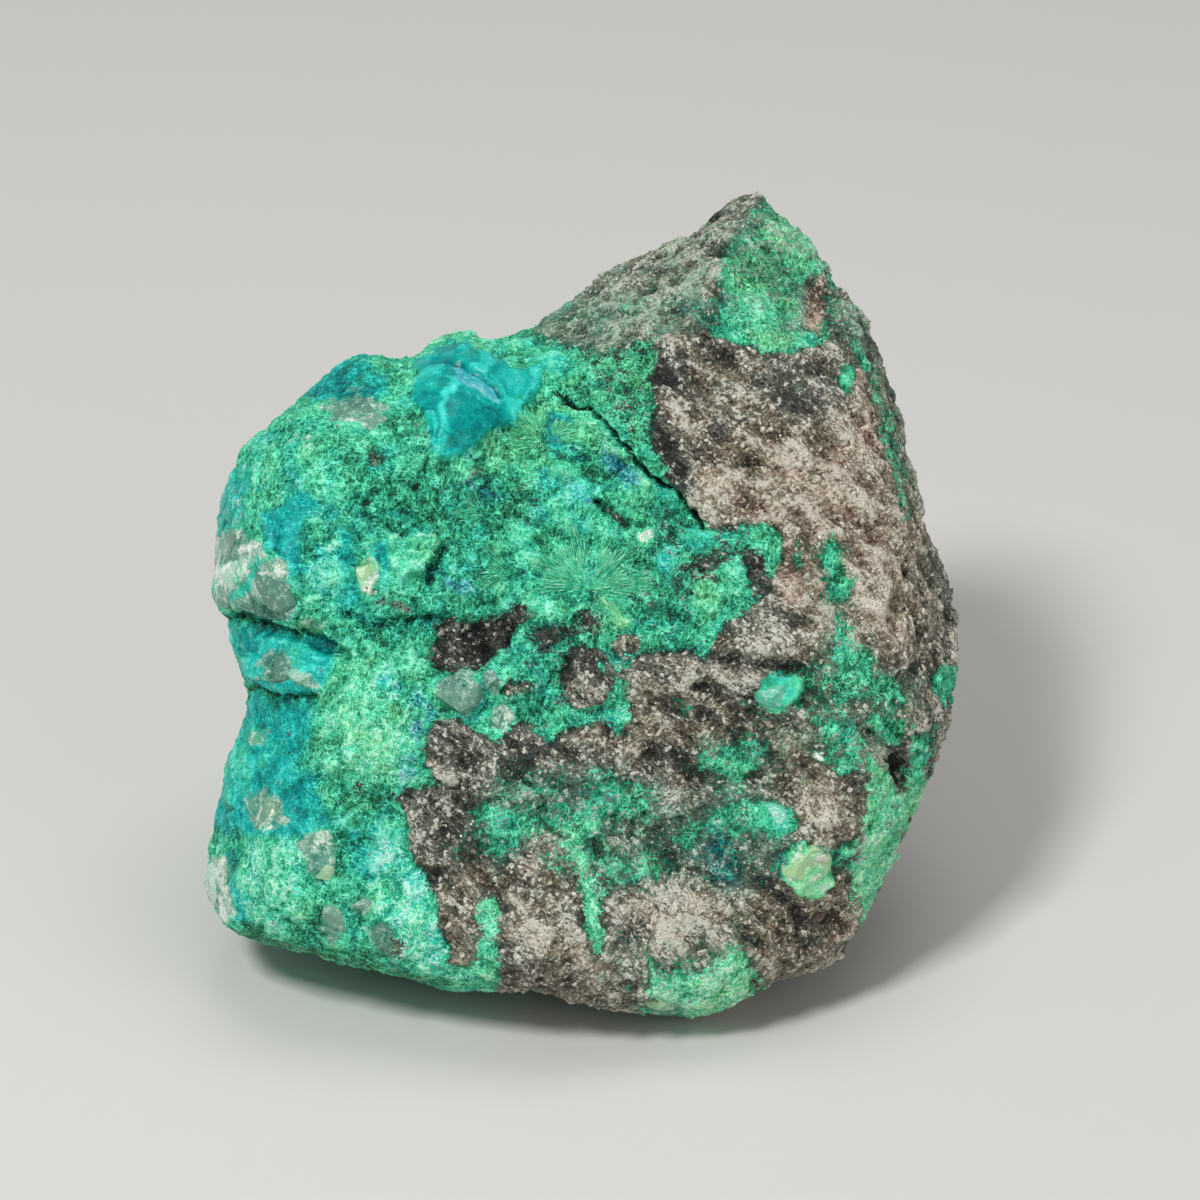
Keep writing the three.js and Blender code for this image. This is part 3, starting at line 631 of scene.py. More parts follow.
    Patch("spur", Area(((11, -14.4), (11.6, -13.3), (13.4, -13), (15.2, -12.4), (17, -13),
                        (16.6, -14.9), (14.8, -15.8), (14.3, -17.6), (16.1, -18),
                        (18.8, -18.5), (19.3, -20.3), (17.5, -21.2), (15.2, -20.7),
                        (12.5, -21.6), (11.6, -20.3), (13.1, -18), (13.7, -16.2),
                        (12.2, -15.8))), Tone(rock=-0.35, pale=0.05), 0.5),
    Patch("spur_shade", Area(((11.3, -20.9), (14.3, -21.2), (15.2, -23.4), (14.3, -26.1),
                              (12.1, -25.2), (11.3, -23.4))),
          Tone(rock=-0.1, teal=0.5, pale=-0.7, warm=-0.7), 0.6),
    Patch("spur_pool", Area(((18.2, -22.5), (19.6, -22.6), (19.3, -25.2), (17, -25.2))),
          Tone(rock=-0.15, teal=0.3, pale=-0.35), 0.5),
    Patch("spur_lobe", Blob((17.9, -19.6), (1.9, 1.3)),
          Tone(rock=-1.0, teal=0.15, pale=0.3, glass=0.4, proud=0.5), 0.35),
    Patch("clear_lobe_field", Area(((14.3, -9), (16.6, -9.4), (21.1, -5.9), (21.5, -8.1),
                                    (20.2, -10.1), (17.5, -10.4), (15, -10))),
          Tone(rock=-0.25, pale=0.0), 0.5),
    Patch("clear_lobe", Blob((18.3, -8.1), (2.0, 1.6)),
          Tone(rock=-1.0, teal=0.2, pale=-0.1, glass=0.9, proud=0.6), 0.25),
    Patch("fleck_field", Area(((20.4, -5), (24, -4.6), (25, -11), (22, -11), (20.6, -9))),
          Tone(rock=0.1), 0.8),
    Patch("green_upright", Area(((22, 4.7), (23.1, 5.6), (23.9, 5), (23.8, 2.3), (24.8, 1.8),
                                 (24.2, 0), (22.4, -0.4), (22, 1.8))),
          Tone(rock=-0.65, pale=-0.05), 0.35),
    Patch("green_sliver", Blob((20.2, 4.0), (0.5, 1.4)), Tone(rock=-0.4, pale=0.0), 0.3),
    Patch("green_drip", Area(((23.3, -1.8), (23.9, -1.4), (24.3, -3.6), (25.1, -4.5),
                              (24.7, -6.3), (24.2, -8.6), (23.8, -9.6), (23.6, -6.4),
                              (23.1, -4))), Tone(rock=-0.6, pale=0.1), 0.35),
    Patch("green_drop", Blob((25.7, -6.6), (0.8, 1.8), -10), Tone(rock=-0.8, pale=0.15), 0.3),
    Patch("green_shelf", Area(((21.2, -10.8), (24.2, -10.4), (25.4, -12.6), (26, -14.9),
                               (24.5, -15.3), (22.9, -13.5))), Tone(rock=-0.3, pale=0.0), 0.5),
    Patch("mint_patch", Area(((26.9, -6.8), (28.7, -6.8), (29.2, -9), (27.8, -9.5),
                              (26.6, -8.6))), Tone(rock=-0.5, pale=0.1), 0.4),
    Patch("deep_leaf", Blob((27.8, -11.7), (1.2, 1.5), 30), Tone(rock=-0.9, pale=-0.2), 0.3),
    Patch("edge_leaf", Area(((31.9, -6.8), (33.4, -5.9), (34.4, -8.1), (32.8, -10.2),
                             (31.7, -8.6))), Tone(rock=-0.85, pale=0.1), 0.3),
    Patch("edge_vein", Stroke(((24.9, 23), (26.3, 19.8), (27.2, 16.2), (28.3, 13.5),
                               (28.9, 10.8), (29.6, 7.2)), 0.45),
          Tone(rock=-0.35, pale=0.2), 0.35),
    Patch("green_pip", Blob((24.2, 19.8), (0.7, 1.2)), Tone(rock=-1.0, pale=0.15), 0.25),
    Patch("lime_band", Area(((26.5, -14.4), (27.4, -14.9), (28.7, -17.3), (30.3, -15.8),
                             (32, -17.4), (30, -20), (29.4, -22.5), (28.6, -27),
                             (26.4, -30), (24.7, -29.3), (24.8, -27), (24.2, -24.3),
                             (24.7, -22), (25.6, -20.7), (25.7, -18))),
          Tone(rock=-0.6, teal=-0.45, pale=0.5, glass=0.2, warm=0.4, light=0.4), 0.4),
    Patch("edge_strip", Area(((30.5, -12.2), (32.4, -11.3), (32, -14), (31.4, -16),
                              (29.9, -17.1), (29.6, -14.9))), Tone(rock=-0.55, pale=0.15), 0.4),
    Patch("gouge", Area(((27.5, -13.5), (29.2, -13), (29.9, -14.9), (29.6, -16.7),
                         (28.9, -16.9), (27.8, -14.9))),
          Tone(rock=1.0, warm=-0.8, light=-0.7, proud=-1.0), 0.3),
    Patch("turquoise_shelf", Area(((18.8, -23), (20.2, -22.5), (24.7, -22), (24.2, -24.3),
                                   (22.9, -24.3), (21.8, -22.8))),
          Tone(rock=-0.5, pale=0.1), 0.4),
    Patch("yellow_grain", Blob((20.6, -24.5), (2.0, 2.1), 30),
          Tone(rock=-1.0, teal=-0.95, pale=0.45, glass=0.6, quartz=0.35, proud=0.6), 0.25),
    Patch("cream_chip", Area(((21.7, -22.9), (22.8, -23), (22.6, -23.9), (21.9, -23.8))),
          Tone(rock=-1.0, teal=-0.9, pale=1.0, quartz=0.6, proud=0.4), 0.15),
    Patch("foot_lime", Area(((6.5, -32), (7.1, -33.1), (8.6, -34), (10.3, -32.4),
                             (11.2, -33.8), (12.5, -32), (14.8, -31.5), (15.2, -32.9),
                             (16.9, -34), (15.2, -36), (12.5, -38), (9, -38), (6.7, -35))),
          Tone(rock=-0.6, teal=-0.4, pale=0.6), 0.4),
    Patch("foot_bead", Blob((8.0, -36.6), (1.8, 1.0)), Tone(rock=-0.9, quartz=0.6, pale=-0.1)),
    Patch("upper_leaf", Area(((15.8, 6.5), (17.3, 6.8), (18.4, 6.3), (18.4, 4.5), (17.5, 4),
                              (16.1, 5))), Tone(rock=-0.8, pale=0.05, teal=-0.1), 0.3),
    Patch("turquoise_leaf", Area(((13.1, 2.7), (14.3, 3.2), (14.9, 1.8), (15.7, 0),
                                  (14.8, -1.1), (13.4, 0.5))),
          Tone(rock=-0.8, pale=0.3, teal=0.15), 0.4),
    Patch("yellow_leaf", Blob((11.6, -0.4), (1.4, 1.5)), Tone(rock=-0.9, teal=-0.6, pale=0.2)),
    Patch("green_wedge", Area(((10.9, -0.9), (13, 0), (12.8, -2.7), (11.9, -5), (10.7, -4))),
          Tone(rock=-0.75, pale=0.05), 0.4),
    Patch("small_fleck", Blob((9.6, -9.6), (1.3, 0.9)), Tone(rock=-0.1), 0.5),
    Patch("small_fleck_two", Blob((4.1, -10.9), (0.7, 1.3)), Tone(rock=-0.9, pale=0.3), 0.3),
    Patch("small_fleck_three", Blob((-2.3, -24.1), (1.4, 1.2)), Tone(rock=0.0, pale=0.3), 0.5),
    Patch("small_fleck_four", Blob((-10.2, -22.7), (1.3, 1.0)), Tone(rock=0.05), 0.5),
    Patch("small_fleck_five", Blob((9.9, -21.4), (0.6, 0.8)), Tone(rock=-0.6), 0.3),
    Patch("turquoise_fleck", Blob((24.0, -14.9), (0.4, 0.6)), Tone(rock=-1.0, pale=0.4), 0.2),
    Patch("cream_glint", Blob((22.0, -13.9), (0.55, 0.35), -20),
          Tone(rock=-1.0, teal=-0.9, pale=1.0, quartz=0.7), 0.15),
    Patch("white_glint", Blob((20.3, -22.3), (0.3, 0.4)), Tone(rock=-1.0, pale=1.0, quartz=0.7),
          0.15),
    Patch("white_chip", Blob((6.2, 5.9), (0.7, 0.8)), Tone(rock=-1.0, pale=0.9, quartz=0.6), 0.3),
    # Cracks, crevices and bundles. The cracks, crevices and groove are sunk into the skin and
    # darkened as well: painted shade.
    Patch("knob_crevice", Stroke(((-31, -1.7), (-27.5, -2.8), (-24.5, -3.2), (-22.9, -3.9),
                                  (-20.8, -5)), 0.35),
          Tone(quartz=0.0, pale=-1.0, proud=-1.1), 0.35),
    Patch("lower_crevice", Stroke(((-29.5, -8.0), (-26, -9.2), (-23.5, -8.9)), 0.35),
          Tone(quartz=0.0, pale=-1.0, proud=-0.8), 0.35),
    Patch("groove", Stroke(((-20.8, -1.1), (-18.5, -2.1), (-15.5, -2.2), (-12.2, -1.9)), 0.3),
          Tone(pale=-0.9, proud=-0.7), 0.3),
    Patch("dome_crack", Stroke(((-13, 12.8), (-14.2, 10.2), (-15.4, 7.9)), 0.12),
          Tone(pale=-0.9, proud=-0.4), 0.2),
    Patch("great_crack", Stroke(((-2, 18.6), (0.5, 17.4), (3, 15.2), (5.5, 12.4), (7.6, 10.5),
                                 (8.5, 9.9), (10.3, 8), (11.6, 6.5)), 0.14),
          Tone(rock=-1.0, pale=-2.4, proud=-0.9), 0.1),
    Patch("crack_lip", Stroke(((1.4, 15.6), (4.4, 12.5), (6.4, 10.4)), 0.2),
          Tone(teal=-0.5, pale=0.55, proud=0.2), 0.25),
    Patch("short_crack", Stroke(((2, 8.7), (3, 8), (4.2, 7.0)), 0.4),
          Tone(rock=0.3, warm=-0.5, light=-0.8, pale=-1.0, proud=-0.6), 0.35),
    # A dark band: painted shadow, with the skin sunk a little there.
    Patch("dark_seam", Stroke(((4, -0.9), (7, -1.3), (11, -1.5)), 0.45),
          Tone(pale=-0.9, light=-0.8, proud=-0.3), 0.5),
    Patch("bundle", Stroke(((2.3, 0), (4.2, -2.0)), 0.5),
          Tone(rock=-1.0, teal=-0.95, pale=0.2, proud=0.3), 0.25),
)


@dataclass
class Painter:
    """Gives every place of the skin its tone, on the display face and round the sides and back.

    Attributes:
        edge_wander: How far the outlines of patches wander, in millimetres.
        edge_fret: How far they fray on a small scale, in millimetres.
        spread: How many times its stated softness the edge of a tone is.
        halo: The same for the border between crust and rock.
    """

    edge_wander: float = 0.6
    edge_fret: float = 0.32
    spread: float = 1.5
    halo: float = 2.6

    def paint(self, places: np.ndarray, seen: np.ndarray, facing: np.ndarray) -> dict:
        """Works out the channels of the skin.

        Args:
            places: Points of the skin in the face's frame, in millimetres.
            seen: Where those points appear on the display face.
            facing: How squarely each point faces the eye, from -1 to 1.

        Returns:
            One array for each name in CHANNELS.
        """
        wander = np.stack([lumps(places, 2.6, 11.0), lumps(places, 2.6, 37.0)], axis=1)
        fret = np.stack([lumps(places, 0.8, 5.0), lumps(places, 0.8, 23.0)], axis=1)
        spots = seen + self.edge_wander * wander + self.edge_fret * fret
        front = self.crust(places)
        for patch in PATCHES + ROCK_PATCHES:
            self.lay(front, patch, spots)
        back = self.back(places)
        share = ramp(facing + 0.12 * lumps(places, 3.0, 71.0), -0.16, 0.1)
        return {name: back[name] + share * (front[name] - back[name]) for name in CHANNELS}

    def crust(self, places: np.ndarray) -> dict:
        """The bare malachite crust that the patches are laid on.

        Args:
            places: Points in the face's frame, in millimetres, one row each.

        Returns:
            One array for each name in CHANNELS.
        """
        channels = {name: np.zeros(len(places)) for name in CHANNELS}
        channels["rock"] -= 1.0
        channels["teal"] += 0.05 + 0.25 * lumps(places, 5.0, 3.0)
        channels["pale"] += 0.3 * lumps(places, 3.2, 13.0) + 0.15 * lumps(places, 1.3, 7.0)
        channels["warm"] -= 1.3
        channels["light"] -= 0.5
        return channels

    def back(self, places: np.ndarray) -> dict:
        """The broken back and sides: host rock with crust over it, more of it to the left.

        Args:
            places: Points in the face's frame, in millimetres, one row each.

        Returns:
            One array for each name in CHANNELS.
        """
        channels = self.crust(places)
        broad = lumps(places, 11.0, 51.0) + 0.5 * lumps(places, 4.5, 17.0)
        cover = ramp(0.9 * broad - places[:, 0] / 26.0, -0.35, 0.35)
        channels["rock"] = 1.0 - 1.75 * cover
        channels["warm"] = 0.25 + 0.7 * lumps(places, 8.0, 29.0)
        channels["light"] = 0.1 + 0.5 * lumps(places, 6.0, 61.0)
        channels["teal"] = 0.15 + 0.7 * lumps(places, 7.0, 83.0)
        channels["glass"] = ramp(channels["teal"], 0.35, 0.7) * 0.6
        channels["film"] = ramp(lumps(places, 6.0, 97.0), 0.0, 0.4) * 0.6
        return channels

    def lay(self, channels: dict, patch: Patch, spots: np.ndarray) -> None:
        """Lays one patch over the channels, within reach of its outline.

        Args:
            channels: The skin's channels, which are changed.
            patch: The patch.
            spots: Where each point appears on the face.
        """
        low, high = reach(patch.shape)
        edge = patch.edge * self.spread
        halo = patch.edge * self.halo
        margin = halo + 0.1
        near = np.all((spots > low - margin) & (spots < high + margin), axis=1)
        if not near.any():
            return
        inside = patch.shape.inside(spots[near])
        weights = {name: ramp(inside, -edge, edge) for name in CHANNELS}
        weights["rock"] = ramp(inside, -halo, halo)
        for name in CHANNELS:
            value = getattr(patch.tone, name)
            if value is not None:
                channels[name][near] += weights[name] * (value - channels[name][near])


def reach(shape: Blob | Area | Stroke) -> tuple[np.ndarray, np.ndarray]:
    """The lowest and highest corner of a shape laid out on the face.

    Args:
        shape: The shape.

    Returns:
        The two corners.
    """
    if isinstance(shape, Blob):
        span = np.full(2, max(shape.half))
        return np.array(shape.middle) - span, np.array(shape.middle) + span
    if isinstance(shape, Area):
        return np.min(shape.outline, axis=0), np.max(shape.outline, axis=0)
    span = np.full(2, shape.half_width)
    return np.min(shape.path, axis=0) - span, np.max(shape.path, axis=0) + span


# ---- Shader graphs --------------------------------------------------------------------------


class Maths(Enum):
    """The Math node operations that expressions use."""

    ADD = "ADD"
    SUBTRACT = "SUBTRACT"
    MULTIPLY = "MULTIPLY"
    MAXIMUM = "MAXIMUM"
    MINIMUM = "MINIMUM"
    ABSOLUTE = "ABSOLUTE"


class Value:
    """A node socket that arithmetic can be written with."""

    def __init__(self, graph: "Graph", socket: bpy.types.NodeSocket) -> None:
        """Wraps one output socket of a graph."""
        self.graph = graph
        self.socket = socket

    def _math(self, operation: Maths, first: object, second: object = None) -> "Value":
        """Adds a Math node and returns its output.

        Args:
            operation: What to do.
            first: The first value.
            second: The second value, where there is one.

        Returns:
            The result.
        """
        inputs = {0: first} if second is None else {0: first, 1: second}
        node = self.graph.add("ShaderNodeMath", {"operation": operation.value}, inputs)
        return Value(self.graph, node.outputs[0])

    def __add__(self, other: object) -> "Value":
        """Sum."""
        return self._math(Maths.ADD, self, other)

    def __radd__(self, other: object) -> "Value":
        """Sum, from the right."""
        return self._math(Maths.ADD, other, self)

    def __sub__(self, other: object) -> "Value":
        """Difference."""
        return self._math(Maths.SUBTRACT, self, other)

    def __rsub__(self, other: object) -> "Value":
        """Difference, from the right."""
        return self._math(Maths.SUBTRACT, other, self)

    def __mul__(self, other: object) -> "Value":
        """Product."""
        return self._math(Maths.MULTIPLY, self, other)

    def __abs__(self) -> "Value":
        """Size without sign."""
        return self._math(Maths.ABSOLUTE, self)

    def least(self, other: object) -> "Value":
        """The smaller of two values."""
        return self._math(Maths.MINIMUM, self, other)

    def most(self, other: object) -> "Value":
        """The larger of two values."""
        return self._math(Maths.MAXIMUM, self, other)

    def ramp(self, low: float, high: float, start: float = 0.0, end: float = 1.0) -> "Value":
        """Eases the value from start at low to end at high.

        Args:
            low: Where the ease starts.
            high: Where it ends.
            start: The result at low and below.
            end: The result at high and above.

        Returns:
            The result.
        """
        settings = {"interpolation_type": "SMOOTHSTEP", "clamp": True}
        inputs = {"Value": self, "From Min": low, "From Max": high, "To Min": start, "To Max": end}
        node = self.graph.add("ShaderNodeMapRange", settings, inputs)
        return Value(self.graph, node.outputs["Result"])


Stops = tuple[tuple[float, tuple[int, int, int]], ...]


def linear(colour: Sequence[float]) -> tuple[float, float, float, float]:
    """A display colour from 0 to 255 as the linear colour that nodes take.

    Args:
        colour: Red, green and blue.

    Returns:
        Red, green, blue and a full alpha.
    """
    shares = [channel / 255.0 for channel in colour]
    red, green, blue = (
        share / 12.92 if share <= 0.04045 else ((share + 0.055) / 1.055) ** 2.4
        for share in shares
    )
    return red, green, blue, 1.0


class Graph:
    """A material under construction."""

    def __init__(self, name: str) -> None:
        """Starts an empty material.

        Args:
            name: The material's name.
        """
        self.material = bpy.data.materials.new(name)
        self.material.use_nodes = True
        self.tree = self.material.node_tree
        self.tree.nodes.clear()

    def add(self, kind: str, settings: dict, inputs: dict) -> bpy.types.Node:
        """Adds one node.

        Args:
            kind: The node's type.
            settings: Its properties. "stops" fills a colour ramp.
            inputs: Values or links for its sockets, by name or number.

        Returns:
            The node.
        """
        node = self.tree.nodes.new(kind)
        for name, setting in settings.items():
            if name == "stops":
                self._fill_ramp(node.color_ramp, setting)
            else:
                setattr(node, name, setting)
        for name, value in inputs.items():
            if isinstance(value, Value):
                self.tree.links.new(value.socket, node.inputs[name])
            else:
                node.inputs[name].default_value = value
        return node

    @staticmethod
    def _fill_ramp(ramp_data: bpy.types.ColorRamp, stops: Stops) -> None:
        """Sets a colour ramp's stops.

        Args:
            ramp_data: The colour ramp.
            stops: Its places from 0 to 1, each with a colour.
        """
        while len(ramp_data.elements) < len(stops):
            ramp_data.elements.new(1.0)
        for element, (place, colour) in zip(ramp_data.elements, stops):
            element.position = place
            element.color = linear(colour)

    def value(self, kind: str, settings: dict, inputs: dict, output: str | int = 0) -> Value:
        """Adds a node and wraps one of its outputs."""
        return Value(self, self.add(kind, settings, inputs).outputs[output])

    def millimetres(self) -> Value:
        """Object coordinates in millimetres."""
        place = self.value("ShaderNodeTexCoord", {}, {}, "Object")
        return self.vector("SCALE", place, {"Scale": 1.0 / MM})

    def vector(self, operation: str, first: object, others: dict) -> Value:
        """Adds a Vector Math node and wraps its result."""
        return self.value("ShaderNodeVectorMath", {"operation": operation}, {0: first, **others})

    def channel(self, name: str) -> Value:
        """One of the mesh's own number fields."""
        return self.value("ShaderNodeAttribute", {"attribute_name": name}, {}, "Fac")

    def noise(self, place: Value, size: float, detail: float = 2.0, rough: float = 0.5) -> Value:
        """Noise from 0 to 1 with lumps of a size in millimetres."""
        inputs = {"Vector": place, "Scale": 1.0 / size, "Detail": detail, "Roughness": rough}
        return self.value("ShaderNodeTexNoise", {}, inputs, "Fac")

    def ramp(self, factor: Value, stops: Stops) -> Value:
        """A colour from a ramp."""
        return self.value("ShaderNodeValToRGB", {"stops": stops}, {"Fac": factor}, "Color")

    def mix(self, factor: object, first: object, second: object) -> Value:
        """Mixes two colours.

        Args:
            factor: 0 for the first colour, 1 for the second.
            first: The first colour.
            second: The second colour.

        Returns:
            The mixed colour.
        """
        settings = {"data_type": "RGBA", "blend_type": "MIX", "clamp_factor": True}
        inputs = {0: factor, 6: first, 7: second}
        return self.value("ShaderNodeMix", settings, inputs, 2)

    def squash(self, place: Value, direction: Vector, share: float) -> Value:
        """Squeezes a pattern's places along a direction, so that the pattern runs along it.

        Args:
            place: Places in millimetres.
            direction: The direction.
            share: How much of the length along it is taken away.

        Returns:
            The squeezed places.
        """
        length = self.value("ShaderNodeVectorMath", {"operation": "DOT_PRODUCT"},
                            {0: place, 1: direction}, "Value")
        line = self.value("ShaderNodeCombineXYZ", {}, {"X": length, "Y": length, "Z": length})
        back = self.vector("MULTIPLY", line, {1: direction * -share})
        return self.vector("ADD", place, {1: back})

    def bump(self, height: Value, distance: float) -> Value:
        """A normal bumped by a height, to a depth in millimetres."""
        inputs = {"Height": height, "Distance": distance * MM, "Strength": 1.0}
        return self.value("ShaderNodeBump", {}, inputs)

    def shader(self, surface: dict) -> Value:
        """Adds a Principled BSDF."""
        return self.value("ShaderNodeBsdfPrincipled", {}, surface)

    def close(self, shader: Value) -> bpy.types.Material:
        """Ends the material with a shader."""
        self.add("ShaderNodeOutputMaterial", {}, {"Surface": shader})
        return self.material


# ---- Finishes -------------------------------------------------------------------------------


@dataclass(frozen=True)
class CrustPalette:
    """The crust's colours from dark to white, for yellow-green, green and blue-green crust."""

    lime: Stops = ((0.0, (8, 34, 20)), (0.3, (34, 108, 72)), (0.55, (90, 186, 128)),
                   (0.85, (136, 236, 170)), (1.0, (220, 250, 212)))
    green: Stops = ((0.0, (5, 36, 29)), (0.3, (20, 104, 80)), (0.55, (48, 176, 134)),
                    (0.85, (100, 236, 186)), (1.0, (190, 250, 220)))
    teal: Stops = ((0.0, (0, 44, 52)), (0.3, (0, 108, 108)), (0.55, (0, 164, 156)),
                   (0.85, (62, 224, 206)), (1.0, (180, 242, 230)))
    azurite: Stops = ((0.0, (2, 34, 62)), (0.4, (8, 86, 126)), (0.75, (52, 148, 182)),
                      (1.0, (176, 226, 230)))
    quartz: Stops = ((0.0, (14, 50, 42)), (0.35, (48, 104, 90)), (0.65, (108, 164, 142)),
                     (1.0, (232, 242, 226)))

    def colour(self, graph: Graph, shade: Value, teal: Value) -> Value:
        """The crust's colour.

        Args:
            graph: The material.
            shade: From dark at 0 to white at 1.
            teal: The hue, from -1 to 1.

        Returns:
            The colour.
        """
        warm_side = graph.mix(teal.ramp(-1.0, 0.1), graph.ramp(shade, self.lime),
                              graph.ramp(shade, self.green))
        return graph.mix(teal.ramp(0.0, 0.9), warm_side, graph.ramp(shade, self.teal))


@dataclass(frozen=True)
class RockPalette:
    """The host rock's colours from dark to light, for black, grey, tan and reddish rock."""

    black: Stops = ((0.0, (8, 8, 9)), (0.35, (40, 40, 37)), (0.7, (112, 114, 103)),
                    (1.0, (230, 230, 216)))
    grey: Stops = ((0.0, (18, 19, 17)), (0.35, (74, 76, 68)), (0.7, (138, 138, 123)),
                   (1.0, (246, 244, 230)))
    tan: Stops = ((0.0, (28, 22, 15)), (0.35, (98, 88, 69)), (0.7, (166, 155, 130)),
                  (1.0, (248, 242, 224)))
    red: Stops = ((0.0, (30, 20, 15)), (0.35, (106, 82, 66)), (0.7, (176, 150, 128)),
                  (1.0, (244, 230, 212)))

    def colour(self, graph: Graph, shade: Value, warm: Value) -> Value:
        """The rock's colour.

        Args:
            graph: The material.
            shade: From dark at 0 to light at 1.
            warm: The rock's shade, from -1 to 1.

        Returns:
            The colour.
        """
        cool = graph.mix(warm.ramp(-1.0, 0.0), graph.ramp(shade, self.black),
                         graph.ramp(shade, self.grey))
        tan = graph.mix(warm.ramp(0.0, 0.5), cool, graph.ramp(shade, self.tan))
        return graph.mix(warm.ramp(0.5, 1.0), tan, graph.ramp(shade, self.red))


@dataclass(frozen=True)
class Patterns:
    """The patterns that the crust and the rock share. Noise is about nought.

    Attributes:
        fine: Noise with lumps of a quarter of a millimetre.
        medium: Noise with lumps of one millimetre.
        broad: Noise with lumps of two to three millimetres.
        felt: Strands that radiate in tufts, about nought.
        threads: Thin pale threads and fibres, from 0 to 1.
        spark: Each crystal grain's own lightness, from 0 to 1; its brightest grains get painted
            glints on the rock.
        gap: How far from the middle of its grain a place lies, as a share of its width.
        clear: Where quartz shows, from 0 to 1.
        wool: How felted the crust is, from 0 to 1.
    """

    fine: Value
    medium: Value
    broad: Value
    felt: Value
    threads: Value
    spark: Value
    gap: Value
    clear: Value
    wool: Value


